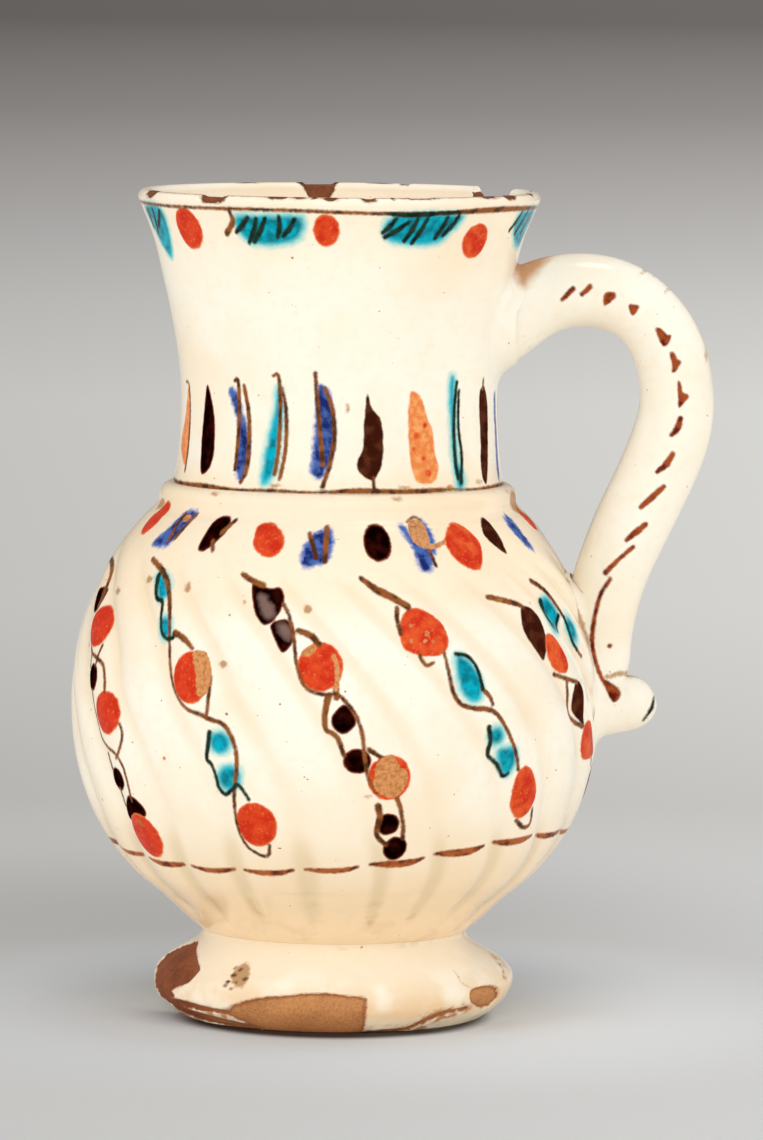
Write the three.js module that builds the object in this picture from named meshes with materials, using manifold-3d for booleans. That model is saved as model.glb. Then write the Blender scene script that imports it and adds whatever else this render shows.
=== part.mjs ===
import * as THREE from 'three';
import { mergeVertices } from 'three/addons/utils/BufferGeometryUtils.js';
import Module from 'manifold-3d';

// A glazed earthenware jug, potted in sections: ring foot, fluted body, collar, flared neck and a
// handle bent from a coil. Thin layers of slip, the lutes, join the sections.
// Sizes are in millimetres and angles in degrees. +Z is up, -Y is the front, the handle is at +X.

// Foot
const footHeight = 17.4;
const footBaseRadius = 33;
const footRimWidth = 8;
const footRadius = 39.3;
const footWidestHeight = 8;
const footBoreRadius = 20;
const waistRadius = 28.9;

// Body
const bodyHeight = 91.4;
const bellyRadius = 57.7;
const bellyRise = 50.4;
const bodyWall = 5;
const floorThickness = 6;

// Flutes of the body
const fluteCount = 22;
const fluteDepth = 1;
const fluteTwist = 55;
const fluteStraightRise = 23.4;
const fluteTwistPower = 1.8;
const fluteLowFade = 9;
const fluteHighFade = 12;
const fluteTopMargin = 4;

// Neck and collar
const neckHeight = 68.8;
const neckRootRadius = 36.1;
const neckRootHeight = 5.3;
const neckWaistRadius = 34.4;
const neckWaistRise = 21.8;
const rimRadius = 43.8;
const neckWall = 4.2;
const lipThickness = 3.2;
const collarHeight = 6.5;
const collarWidth = 4.7;
const collarRidgeWidth = 2.5;
const collarRidgeHeight = 3.3;

// Handle, measured along the middle of its coil
const handleRadius = 8.1;
const handleRootRadius = 10.9;
const handleSwellPower = 5;
const handleRootDrop = 27.8;
const handleRootDepth = 2.5;
const handleCrownDrop = 21.1;
const handleCrownReach = 53;
const handleReach = 73.7;
const handleReachDrop = 45.1;
const handleLandingRise = 59.9;
const handleTailLength = 5.5;

// Curl under the handle
const curlRadius = 6.6;
const curlEndRadius = 5;
const curlReach = 12;
const curlSeat = 0.9;
const curlLift = 3.2;
const curlTipLength = 2.5;
const curlTipRadius = 2.2;

// Slip, and the gap between pieces that are cut to fit each other
const luteThickness = 1.2;
const luteMargin = 1.5;
const fitGap = 0.3;

// Bends of the curves: two pulls each, as shares of the way across and up from start to end
const lowBellyBend = [[0.82, 0.33], [1, 0.63]];
const highBellyBend = [[0, 0.36], [0.41, 0.76]];
const lowNeckBend = [[0.65, 0.23], [1, 0.77]];
const highNeckBend = [[0, 0.33], [0.42, 0.7]];
const lowCollarBend = [[0.6, 0.3], [1, 0.6]];
const highCollarBend = [[0, 0.6], [0.4, 1]];
const lowFootBend = [[0.42, 0.23], [1, 0.5]];
const highFootBend = [[0, 0.47], [0.89, 0.67]];
const footHollowBend = [[0.3, 0.3], [1, 0.6]];
const handleOutsetBend = [[0.3, 0.25], [0.5, 1]];
const handleBowBend = [[0.63, 0], [1, 0.43]];
const handleDropBend = [[0, 0.28], [1, 0.58]];
const curlBend = [[0.4, 0], [0.7, 0.3]];

// Facets
const ringSides = 48;
const sidesPerFlute = 6;
const coilSides = 20;
const longSteps = 8;
const shortSteps = 4;

// Heights of the joints between the sections
const bodyBase = footHeight + luteThickness;
const bellyHeight = bodyBase + bellyRise;
const shoulderHeight = bodyBase + bodyHeight;
const neckBase = shoulderHeight + luteThickness;
const neckRootTop = neckBase + neckRootHeight;
const rimHeight = neckBase + neckHeight;
const lipHeight = rimHeight - lipThickness / 2;

// Radii that follow from the neck's root
const throatRadius = neckRootRadius - neckWall;
const collarBore = neckRootRadius + fitGap;
const shoulderRadius = collarBore + collarWidth;

// Distances from the neck or the body to the far side of a lute and to the clay on it
const luteOutside = fitGap + luteThickness;
const claySeat = luteOutside + fitGap;

const { degToRad, lerp, smoothstep } = THREE.MathUtils;
const wasm = await Module();
wasm.setup();

function at(radius, height) {
  return new THREE.Vector2(radius, height);
}

// Points of a smooth curve from start to end
function curveBetween(start, bend, end, steps) {
  const span = end.clone().sub(start);
  const pulls = bend.map((pull) => span.clone().multiply(at(...pull)).add(start));
  return new THREE.CubicBezierCurve(start, ...pulls, end).getPoints(steps);
}

// Radius of an outline at a height
function radiusAt(outline, height) {
  const above = Math.max(1, outline.findIndex((point) => point.y >= height));
  const [low, high] = [outline[above - 1], outline[above]];
  return lerp(low.x, high.x, (height - low.y) / (high.y - low.y));
}

// Merges equal corners and drops the triangles that shrink to a line on the axis
function weld(geometry) {
  geometry.deleteAttribute('normal');
  geometry.deleteAttribute('uv');
  const merged = mergeVertices(geometry);
  const corners = Array.from(merged.index.array);
  const kept = [];
  for (let i = 0; i < corners.length; i += 3) {
    const triangle = corners.slice(i, i + 3);
    if (new Set(triangle).size === 3) kept.push(...triangle);
  }
  merged.setIndex(kept);
  return merged;
}

// Turns a profile of radius and height about the Z axis, starting at the front
function turned(profile, sides = ringSides) {
  const geometry = new THREE.LatheGeometry(profile, sides);
  geometry.rotateX(Math.PI / 2);
  return weld(geometry);
}

function closedRing(profile) {
  return turned([...profile, profile[0].clone()]);
}

function flatRing(innerRadius, outerRadius, bottom, top) {
  return closedRing([
    at(innerRadius, bottom),
    at(outerRadius, bottom),
    at(outerRadius, top),
    at(innerRadius, top),
  ]);
}

// A round coil along a path in the XZ plane, with a radius at each point and flat ends
function coil(path, radii) {
  const positions = [];
  const triangles = [];
  const last = path.length - 1;
  path.forEach((point, i) => {
    const along = path[Math.min(i + 1, last)].clone().sub(path[Math.max(i - 1, 0)]).normalize();
    for (let side = 0; side < coilSides; side++) {
      const angle = (2 * Math.PI * side) / coilSides;
      const across = radii[i] * Math.cos(angle);
      positions.push(point.x - along.y * across, radii[i] * Math.sin(angle), point.y + along.x * across);
    }
  });
  for (let i = 0; i < last; i++) {
    for (let side = 0; side < coilSides; side++) {
      const a = i * coilSides + side;
      const b = i * coilSides + ((side + 1) % coilSides);
      triangles.push(a, a + coilSides, b, b, a + coilSides, b + coilSides);
    }
  }
  const end = last * coilSides;
  for (let side = 1; side < coilSides - 1; side++) {
    triangles.push(0, side, side + 1, end, end + side + 1, end + side);
  }
  const geometry = new THREE.BufferGeometry();
  geometry.setAttribute('position', new THREE.Float32BufferAttribute(positions, 3));
  geometry.setIndex(triangles);
  return geometry;
}

function solidOf(geometry) {
  return new wasm.Manifold(new wasm.Mesh({
    numProp: 3,
    vertProperties: new Float32Array(geometry.attributes.position.array),
    triVerts: new Uint32Array(geometry.index.array),
  }));
}

function geometryOf(solid) {
  const mesh = solid.getMesh();
  const geometry = new THREE.BufferGeometry();
  geometry.setAttribute('position', new THREE.BufferAttribute(mesh.vertProperties, 3));
  geometry.setIndex(new THREE.BufferAttribute(mesh.triVerts, 1));
  return geometry;
}

// Outside of the body from the foot's joint over the belly to the shoulder
const widestBelly = at(bellyRadius, bellyHeight);
const bodyOutline = [
  ...curveBetween(at(waistRadius, bodyBase), lowBellyBend, widestBelly, longSteps),
  ...curveBetween(widestBelly, highBellyBend, at(shoulderRadius, shoulderHeight), longSteps).slice(1),
];

// Outside of the neck from its root, past its waist, to the lip
const neckWaist = at(neckWaistRadius, neckBase + neckWaistRise);
const neckOutline = [
  at(neckRootRadius, neckBase),
  ...curveBetween(at(neckRootRadius, neckRootTop), lowNeckBend, neckWaist, shortSteps),
  ...curveBetween(neckWaist, highNeckBend, at(rimRadius, lipHeight), longSteps).slice(1),
];

// How deep the flutes are cut at a height: they fade out towards both joints
function fluteCut(height) {
  const low = smoothstep(height, bodyBase, bodyBase + fluteLowFade);
  const top = shoulderHeight - fluteTopMargin;
  const high = 1 - smoothstep(height, top - fluteHighFade, top);
  return fluteDepth * low * high;
}

// The flutes rise straight from the foot and then lean over towards the shoulder
function fluteTurn(height) {
  const straightEnd = bodyBase + fluteStraightRise;
  const share = Math.max(0, height - straightEnd) / (shoulderHeight - straightEnd);
  return -degToRad(fluteTwist) * share ** fluteTwistPower;
}

// The body's outside as a full solid, grown outwards by a distance
function bodyOutside(growth = 0) {
  const profile = bodyOutline.map((point) => at(point.x + growth, point.y));
  const geometry = turned([at(0, bodyBase), ...profile, at(0, shoulderHeight)], fluteCount * sidesPerFlute);
  const position = geometry.attributes.position;
  const point = new THREE.Vector3();
  for (let i = 0; i < position.count; i++) {
    point.fromBufferAttribute(position, i);
    const angle = Math.atan2(point.x, -point.y);
    const groove = 1 - Math.abs(Math.cos((fluteCount * angle) / 2));
    const radius = Math.max(0, Math.hypot(point.x, point.y) - fluteCut(point.z) * groove);
    const turnedAngle = angle + fluteTurn(point.z);
    position.setXY(i, radius * Math.sin(turnedAngle), -radius * Math.cos(turnedAngle));
  }
  return solidOf(geometry);
}

// The neck's outside as a full solid, grown outwards by a distance
function neckOutside(growth) {
  const profile = neckOutline.map((point) => at(point.x + growth, point.y));
  return solidOf(turned([at(0, neckBase), ...profile, at(0, lipHeight)]));
}

function footGeometry() {
  const widest = at(footRadius, footWidestHeight);
  const ringInside = at(footBaseRadius - footRimWidth, 0);
  return closedRing([
    ...curveBetween(at(footBaseRadius, 0), lowFootBend, widest, shortSteps),
    ...curveBetween(widest, highFootBend, at(waistRadius, footHeight), longSteps).slice(1),
    ...curveBetween(at(footBoreRadius, footHeight), footHollowBend, ringInside, shortSteps),
  ]);
}

function footLuteGeometry() {
  return flatRing(footBoreRadius, waistRadius, footHeight, bodyBase);
}

function bodyGeometry() {
  const floor = bodyBase + floorThickness;
  const widestInside = at(bellyRadius - bodyWall, bellyHeight);
  const cavity = [
    at(0, floor),
    ...curveBetween(at(waistRadius - bodyWall, floor), lowBellyBend, widestInside, longSteps),
    ...curveBetween(widestInside, highBellyBend, at(throatRadius, shoulderHeight), longSteps).slice(1),
    at(throatRadius, neckBase),
    at(0, neckBase),
  ];
  return geometryOf(bodyOutside().subtract(solidOf(turned(cavity))));
}

function neckLuteGeometry() {
  return flatRing(throatRadius, neckRootRadius, shoulderHeight, neckBase);
}

function collarGeometry() {
  const ridge = at(collarBore + collarRidgeWidth, shoulderHeight + collarRidgeHeight);
  const top = at(collarBore, shoulderHeight + collarHeight);
  return closedRing([
    at(collarBore, shoulderHeight),
    ...curveBetween(at(shoulderRadius, shoulderHeight), lowCollarBend, ridge, shortSteps),
    ...curveBetween(ridge, highCollarBend, top, shortSteps).slice(1),
  ]);
}

function neckGeometry() {
  const lipRadius = lipThickness / 2;
  const lip = [];
  for (let step = 1; step < shortSteps; step++) {
    const angle = (Math.PI * step) / shortSteps;
    const radius = rimRadius - lipRadius + lipRadius * Math.cos(angle);
    lip.push(at(radius, lipHeight + lipRadius * Math.sin(angle)));
  }
  const inside = neckOutline.map((point) => {
    const share = (point.y - neckBase) / (lipHeight - neckBase);
    return at(point.x - lerp(neckWall, lipThickness, share), point.y);
  });
  return closedRing([...neckOutline, ...lip, ...inside.reverse()]);
}

// The middle of the handle's coil: out of the neck, over the crown, round the bow and down the belly
const rootHeight = rimHeight - handleRootDrop;
const handleRoot = at(radiusAt(neckOutline, rootHeight) - handleRootDepth, rootHeight);
const handleCrown = at(handleCrownReach, rimHeight - handleCrownDrop);
const handleBow = at(handleReach, rimHeight - handleReachDrop);
const landingHeight = bodyBase + handleLandingRise;
const handleLanding = at(radiusAt(bodyOutline, landingHeight), landingHeight);
const handleEnd = at(handleLanding.x, landingHeight - handleTailLength);
const handlePath = [
  ...curveBetween(handleRoot, handleOutsetBend, handleCrown, longSteps),
  ...curveBetween(handleCrown, handleBowBend, handleBow, longSteps).slice(1),
  ...curveBetween(handleBow, handleDropBend, handleLanding, longSteps + shortSteps).slice(1),
  handleEnd,
];

// The handle's coil as a full solid, which swells towards its root on the neck
function handleCoil(growth = 0) {
  const radii = handlePath.map((point, i) => {
    const swell = Math.max(0, 1 - i / longSteps) ** handleSwellPower;
    return lerp(handleRadius, handleRootRadius, swell) + growth;
  });
  return solidOf(coil(handlePath, radii));
}

// The curl as a full solid: a short thick tail that leaves the belly, rises and ends in a blunt tip
function curlCoil(growth = 0) {
  const height = handleEnd.y + curlSeat - curlRadius;
  const surface = radiusAt(bodyOutline, height);
  const root = at(surface - curlRadius, height);
  const tip = at(surface + curlReach, height + curlLift);
  const path = curveBetween(root, curlBend, tip, longSteps + shortSteps);
  const radii = path.map((point) => {
    const full = lerp(curlRadius, curlEndRadius, (point.x - root.x) / (tip.x - root.x));
    const past = Math.max(0, 1 - (tip.x - point.x) / curlTipLength);
    return lerp(curlTipRadius, full, Math.sqrt(1 - past ** 2)) + growth;
  });
  return solidOf(coil(path, radii));
}

function handleGeometry() {
  return geometryOf(handleCoil().subtract(neckOutside(claySeat)).subtract(bodyOutside(claySeat)));
}

function handleCurlGeometry() {
  return geometryOf(curlCoil().subtract(bodyOutside(claySeat)).subtract(handleCoil(fitGap)));
}

function handleTopLuteGeometry() {
  const layer = neckOutside(luteOutside).subtract(neckOutside(fitGap));
  return geometryOf(layer.intersect(handleCoil(luteMargin)));
}

function handleBaseLuteGeometry() {
  const layer = bodyOutside(luteOutside).subtract(bodyOutside(fitGap));
  return geometryOf(layer.intersect(handleCoil(luteMargin).add(curlCoil(luteMargin))));
}

function creamGlaze() {
  return new THREE.MeshStandardMaterial({ color: 0xf0e4cb, roughness: 0.28, metalness: 0 });
}

function buffSlip() {
  return new THREE.MeshStandardMaterial({ color: 0xdcc6a2, roughness: 0.6, metalness: 0 });
}

const jug = new THREE.Group();

function addPiece(name, geometry, material) {
  geometry.computeVertexNormals();
  const piece = new THREE.Mesh(geometry, material);
  piece.name = name;
  jug.add(piece);
}

addPiece('foot', footGeometry(), creamGlaze());
addPiece('foot_lute', footLuteGeometry(), buffSlip());
addPiece('body', bodyGeometry(), creamGlaze());
addPiece('neck_lute', neckLuteGeometry(), buffSlip());
addPiece('collar', collarGeometry(), creamGlaze());
addPiece('neck', neckGeometry(), creamGlaze());
addPiece('handle', handleGeometry(), creamGlaze());
addPiece('handle_top_lute', handleTopLuteGeometry(), buffSlip());
addPiece('handle_base_lute', handleBaseLuteGeometry(), buffSlip());
addPiece('handle_curl', handleCurlGeometry(), creamGlaze());

// The origin is under the middle of the jug's box, on the surface that it stands on
const box = new THREE.Box3().setFromObject(jug);
jug.position.x = -(box.min.x + box.max.x) / 2;

export default jug;
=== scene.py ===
import math

import bpy
import numpy as np
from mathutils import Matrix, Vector


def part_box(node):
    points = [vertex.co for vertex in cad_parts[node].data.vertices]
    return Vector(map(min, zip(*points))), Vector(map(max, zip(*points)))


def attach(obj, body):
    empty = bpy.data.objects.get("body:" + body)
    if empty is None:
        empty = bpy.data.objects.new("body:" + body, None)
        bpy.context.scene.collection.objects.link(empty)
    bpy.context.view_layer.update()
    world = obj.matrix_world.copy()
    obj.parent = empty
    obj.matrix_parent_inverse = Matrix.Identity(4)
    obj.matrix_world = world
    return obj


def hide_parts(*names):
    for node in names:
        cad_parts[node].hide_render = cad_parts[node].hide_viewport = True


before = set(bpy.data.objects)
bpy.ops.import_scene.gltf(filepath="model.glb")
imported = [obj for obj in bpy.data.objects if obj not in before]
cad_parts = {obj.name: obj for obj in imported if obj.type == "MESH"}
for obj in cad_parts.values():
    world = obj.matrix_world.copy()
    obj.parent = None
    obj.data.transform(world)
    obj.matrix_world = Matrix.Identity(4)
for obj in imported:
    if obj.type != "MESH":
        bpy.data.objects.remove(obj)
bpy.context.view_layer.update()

# A glazed and painted jug. Its shapes are worked out in millimetres from its own axis, with x to the
# right, -y to the front and z up. Angles go round from the front to the right.
MM = 0.001

# Foot
FOOT_HEIGHT = 17.4
FOOT_BASE_RADIUS = 33
FOOT_RIM_WIDTH = 8
FOOT_RADIUS = 39.3
FOOT_WIDEST_HEIGHT = 8
FOOT_BORE_RADIUS = 20
WAIST_RADIUS = 28.9

# Body
BODY_BASE = 18.6
BELLY_RADIUS = 57.7
BELLY_HEIGHT = 69
SHOULDER_RADIUS = 41.1
SHOULDER_HEIGHT = 110
BODY_WALL = 5
FLOOR_HEIGHT = 24.6

# Flutes of the body
FLUTE_COUNT = 22
FLUTE_DEPTH = 1.1
FLUTE_SOFTNESS = 0.01
FLUTE_TWIST = 55
FLUTE_STRAIGHT_TOP = 42
FLUTE_TWIST_POWER = 1.8
FLUTE_LOW_FADE = 9
FLUTE_HIGH_FADE = 12
FLUTE_TOP = 106

# Neck and collar
NECK_BASE = 111.2
NECK_ROOT_RADIUS = 36.1
NECK_ROOT_TOP = 116.5
NECK_WAIST_RADIUS = 34.4
NECK_WAIST_HEIGHT = 133
RIM_RADIUS = 43.8
NECK_WALL = 4.2
LIP_THICKNESS = 3.2
LIP_HEIGHT = 178.4
RIM_TOP = LIP_HEIGHT + LIP_THICKNESS / 2
THROAT_RADIUS = 31.9
COLLAR_RIDGE_RADIUS = 38.9
COLLAR_RIDGE_HEIGHT = 113.3
COLLAR_TOP = 116.5

# Handle and curl
HANDLE_RADIUS = 8.1
HANDLE_ROOT_RADIUS = 10.9
HANDLE_SWELL_POWER = 5
HANDLE_ROOT = (33.7, 152.2)
HANDLE_CROWN = (53, 158.9)
HANDLE_BOW = (73.7, 134.9)
HANDLE_LANDING = (56.6, 78.5)
HANDLE_END = (56.4, 69)
HANDLE_END_RADIUS = 6.2
HANDLE_END_TAPER = 11
CURL_RADIUS = 6.6
CURL_END_RADIUS = 5.8
CURL_ROOT = (51, 67.3)
CURL_TIP = (69.7, 70.6)
CURL_TIP_LENGTH = 5.5
CURL_TIP_RADIUS = 0.6

# Bends of the curves: two pulls each, as shares of the way across and up from start to end
LOW_BELLY_BEND = [(0.82, 0.33), (1, 0.63)]
HIGH_BELLY_BEND = [(0, 0.36), (0.41, 0.76)]
LOW_NECK_BEND = [(0.65, 0.23), (1, 0.77)]
HIGH_NECK_BEND = [(0, 0.33), (0.42, 0.7)]
LOW_COLLAR_BEND = [(0.6, 0.3), (1, 0.6)]
HIGH_COLLAR_BEND = [(0, 0.6), (0.4, 1)]
LOW_FOOT_BEND = [(0.42, 0.23), (1, 0.5)]
HIGH_FOOT_BEND = [(0, 0.47), (0.89, 0.67)]
FOOT_HOLLOW_BEND = [(0.3, 0.3), (1, 0.6)]
HANDLE_OUTSET_BEND = [(0.3, 0.25), (0.5, 1)]
HANDLE_BOW_BEND = [(0.63, 0), (1, 0.43)]
HANDLE_DROP_BEND = [(0, 0.28), (1, 0.58)]
CURL_BEND = [(0.4, 0), (0.7, 0.3)]

# Spacing of the mesh on painted sides and on plain ones, and points round the smaller pieces
FINE = 0.4
COARSE = 2.5
SEAM_SIDES = 360
COLLAR_SIDES = 600
HANDLE_SIDES = 128
CURL_SIDES = 96
BEAD_SIDES = 160
BEAD_ROWS = 15

# Angle from which an edge stays sharp, and how near to the axis the rings of the body's floor go
SHARP_ANGLE = 38
POLE_RADIUS = 4

# Depth given to points that lie in no mark, and how far round a mark its depth is worked out
FAR = 9
REACH = 4

# Beads of slip: how far out the end of a coil is looked for, how far a bead spreads for its size, and
# how deep its skin and its root lie in the clay
BEAD_SEARCH = 40
BEAD_SPREAD = 1.1
BEAD_SKIN_DEPTH = 0.03
BEAD_ROOT_DEPTH = 0.4

# How far paint stands up from the glaze, and how deep chips and worn places go
BELLY_RED_RISE = 0.16
NECK_RED_RISE = 0.14
MANGANESE_RISE = 0.06
WORN_DEPTH = 0.14
LIP_CHIP_DEPTH = 0.45
FOOT_CHIP_DEPTH = 0.9

# The jug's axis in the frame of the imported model
foot_low, foot_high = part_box("foot")
AXIS_X = (foot_low.x + foot_high.x) / 2 / MM


# Curves and surfaces

def smoothstep(value, low, high):
    share = np.clip((value - low) / (high - low), 0, 1)
    return share * share * (3 - 2 * share)


def bump(value, middle, half):
    """1 at the middle and 0 from a half width on."""
    return 1 - smoothstep(np.abs(value - middle), 0, half)


def curve_between(start, bend, end, steps=120):
    """Points of a smooth curve from start to end."""
    start, end = np.array(start, float), np.array(end, float)
    first, second = [start + (end - start) * np.array(pull) for pull in bend]
    t = np.linspace(0, 1, steps + 1)[:, None]
    rest = 1 - t
    return rest ** 3 * start + 3 * rest ** 2 * t * first + 3 * rest * t ** 2 * second + t ** 3 * end


def joined(*curves):
    """One line of points out of curves that meet end to end."""
    return np.vstack([curves[0], *[curve[1:] for curve in curves[1:]]])


def evenly(points, spacing):
    """The same line with its points at even steps."""
    points = np.array(points, float)
    steps = np.linalg.norm(np.diff(points, axis=0), axis=1)
    along = np.concatenate([[0], np.cumsum(steps)])
    marks = np.linspace(0, along[-1], max(1, round(along[-1] / spacing)) + 1)
    return np.stack([np.interp(marks, along, column) for column in points.T], axis=1)


def radius_at(outline, height):
    return np.interp(height, outline[:, 1], outline[:, 0])


WIDEST_BELLY = (BELLY_RADIUS, BELLY_HEIGHT)
BODY_OUTLINE = joined(
    curve_between((WAIST_RADIUS, BODY_BASE), LOW_BELLY_BEND, WIDEST_BELLY),
    curve_between(WIDEST_BELLY, HIGH_BELLY_BEND, (SHOULDER_RADIUS, SHOULDER_HEIGHT)),
)
NECK_ROOT = (NECK_ROOT_RADIUS, NECK_ROOT_TOP)
NECK_WAIST = (NECK_WAIST_RADIUS, NECK_WAIST_HEIGHT)
NECK_OUTLINE = joined(
    np.array([(NECK_ROOT_RADIUS, NECK_BASE), NECK_ROOT], float),
    curve_between(NECK_ROOT, LOW_NECK_BEND, NECK_WAIST),
    curve_between(NECK_WAIST, HIGH_NECK_BEND, (RIM_RADIUS, LIP_HEIGHT)),
)


def wobble(angle, height):
    """Slight unevenness from the wheel and the hand."""
    lean = 0.28 * np.cos(math.tau * (height - 128) / 85) * smoothstep(height, 45, 75) * np.sin(angle)
    sway = 0.1 * np.sin(3 * angle + 2.1 - 0.02 * height) - 0.12 * np.cos(2 * angle + 0.01 * height)
    rings = 0.02 * np.sin(0.35 * height + 0.6 * np.sin(angle))
    slim = 0.4 * bump(height, 169, 9) + 0.95 * bump(height, 25.5, 6.5)
    foot = bump(height, 4, 6) * (0.25 - 0.55 * np.sin(angle))
    return lean + sway + rings - slim + foot


def flute_drift(angle, height):
    """How far the flutes stray from even spacing, low down and high on the left, in degrees."""
    side = np.degrees(angle)
    low = (1 + 5 * np.sin(angle) + 3 * bump(side, 8, 24)) * (1 - smoothstep(height, 34, 50))
    high = 5.5 * bump(side, -52, 62) * smoothstep(height, 70, 86)
    return low + high


def flute_groove(angle, height):
    """How far a place lies in a groove: 0 on a lobe, 1 at the bottom of a groove."""
    share = np.clip(height - FLUTE_STRAIGHT_TOP, 0, None) / (SHOULDER_HEIGHT - FLUTE_STRAIGHT_TOP)
    turn = np.radians(flute_drift(angle, height) - FLUTE_TWIST * share ** FLUTE_TWIST_POWER)
    wave = np.cos(FLUTE_COUNT / 2 * (angle - turn))
    groove = 1 - np.sqrt(wave ** 2 + FLUTE_SOFTNESS)
    low = smoothstep(height, BODY_BASE, BODY_BASE + FLUTE_LOW_FADE)
    high = 1 - smoothstep(height, FLUTE_TOP - FLUTE_HIGH_FADE, FLUTE_TOP)
    return groove * low * high


def body_surface(angle, height):
    smooth = radius_at(BODY_OUTLINE, height) + wobble(angle, height)
    return smooth - FLUTE_DEPTH * flute_groove(angle, height)


def neck_surface(angle, height):
    return radius_at(NECK_OUTLINE, height) + wobble(angle, height)


# Meshes made of rows of points

def turned_rows(rows, columns):
    """Angle, radius and height of rings round the axis, starting at the back."""
    around = np.linspace(-math.pi, math.pi, columns, endpoint=False)
    angle = np.tile(around, (len(rows), 1))
    radius = np.tile(rows[:, :1], (1, columns))
    height = np.tile(rows[:, 1:], (1, columns))
    return angle, radius, height


def turned_points(angle, radius, height):
    return np.stack([radius * np.sin(angle), -radius * np.cos(angle), height], axis=-1)


def row_places(points, closes):
    """Where each row lies along the piece, from 0 to 1, for its texture map."""
    rows = np.concatenate([points, points[:1]]) if closes else points
    steps = np.linalg.norm(np.diff(rows, axis=0), axis=2).mean(1)
    along = np.concatenate([[0], np.cumsum(steps)])
    return along / along[-1]


def grid_faces(points, poles):
    """Corners and map places of the faces of a grid whose columns go right round. With two poles the
    first and last rows are closed by fans of triangles, and without them the last row joins the first."""
    rows, columns = points.shape[:2]
    index = np.arange(rows * columns).reshape(rows, columns)
    place = row_places(points, poles is None)
    low = index if poles is None else index[:-1]
    high = np.roll(index, -1, axis=0) if poles is None else index[1:]
    corners = np.stack([low, np.roll(low, -1, 1), np.roll(high, -1, 1), high], axis=-1).reshape(-1, 4)
    left = np.tile(np.arange(columns) / columns, (len(low), 1))
    right = left + 1 / columns
    below = np.repeat(place[:len(low), None], columns, axis=1)
    above = np.repeat(place[1:len(low) + 1, None], columns, axis=1)
    across = np.stack([left, right, right, left], axis=-1).reshape(-1, 4)
    up = np.stack([below, below, above, above], axis=-1).reshape(-1, 4)
    faces = [(corners, np.stack([across, up], axis=-1))]
    if poles is not None:
        first, last = index[0], index[-1]
        pole = np.full(columns, rows * columns)
        middle = left[0] + 0.5 / columns
        zero, one = np.zeros(columns), np.ones(columns)
        fan = np.stack([pole, np.roll(first, -1), first], axis=-1)
        spots = np.stack([np.stack([middle, zero], -1), np.stack([right[0], zero], -1),
                          np.stack([left[0], zero], -1)], axis=1)
        faces.append((fan, spots))
        fan = np.stack([last, np.roll(last, -1), pole + 1], axis=-1)
        spots = np.stack([np.stack([left[0], one], -1), np.stack([right[0], one], -1),
                          np.stack([middle, one], -1)], axis=1)
        faces.append((fan, spots))
    return faces


def enclosed_volume(vertices, faces):
    total = 0
    for corners, _ in faces:
        for third in range(2, corners.shape[1]):
            a, b, c = [vertices[corners[:, corner]] for corner in (0, third - 1, third)]
            total += np.einsum("ij,ij->", a, np.cross(b, c)) / 6
    return total


def grid_piece(name, points, poles=None, layers=None):
    """A closed smooth mesh object from a grid of points, with a value per point for each layer."""
    vertices = points.reshape(-1, 3)
    if poles is not None:
        vertices = np.vstack([vertices, poles])
    faces = grid_faces(points, poles)
    if enclosed_volume(vertices, faces) < 0:
        faces = [(corners[:, ::-1], spots[:, ::-1]) for corners, spots in faces]
    mesh = bpy.data.meshes.new(name)
    mesh.vertices.add(len(vertices))
    mesh.vertices.foreach_set("co", ((vertices + [AXIS_X, 0, 0]) * MM).ravel())
    loops = np.concatenate([corners.ravel() for corners, _ in faces])
    sizes = np.concatenate([np.full(len(corners), corners.shape[1]) for corners, _ in faces])
    mesh.loops.add(len(loops))
    mesh.loops.foreach_set("vertex_index", loops)
    mesh.polygons.add(len(sizes))
    mesh.polygons.foreach_set("loop_start", np.concatenate([[0], np.cumsum(sizes)[:-1]]))
    mesh.update(calc_edges=True)
    bake_map = mesh.uv_layers.new(name="OFBake")
    bake_map.data.foreach_set("uv", np.concatenate([spots.ravel() for _, spots in faces]))
    for layer, values in (layers or {}).items():
        held = np.full(len(vertices), -FAR, float)
        held[:values.size] = values.ravel()
        mesh.attributes.new(layer, "FLOAT", "POINT").data.foreach_set("value", held)
    mesh.shade_smooth()
    mesh.set_sharp_from_angle(angle=math.radians(SHARP_ANGLE))
    piece = bpy.data.objects.new(name, mesh)
    bpy.context.scene.collection.objects.link(piece)
    return piece


def fit(piece, node, material):
    """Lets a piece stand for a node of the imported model."""
    piece.data.materials.append(material)
    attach(piece, "root")
    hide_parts(node)


# Marks of paint

def flowing(points, closed=False):
    """A line that flows smoothly through its points."""
    points = np.array(points, float)
    if closed:
        around = np.vstack([points[-1:], points, points[:2]])
    else:
        around = np.vstack([2 * points[:1] - points[1:2], points, 2 * points[-1:] - points[-2:-1]])
    made = []
    for before, start, end, after in zip(around, around[1:], around[2:], around[3:]):
        for t in np.arange(0, 1, 0.2):
            made.append(0.5 * (2 * start + (end - before) * t
                               + (2 * before - 5 * start + 4 * end - after) * t ** 2
                               + (3 * start - before - 3 * end + after) * t ** 3))
    made.append(around[-2])
    return np.array(made)


def from_segment(u, v, start, end):
    """How far along a short straight line the nearest place to a point lies, and how far off it is."""
    across, up = end - start
    u, v = u - start[0], v - start[1]
    along = np.clip((u * across + v * up) / max(across ** 2 + up ** 2, 1e-9), 0, 1)
    return along, np.hypot(u - along * across, v - along * up)


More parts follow.
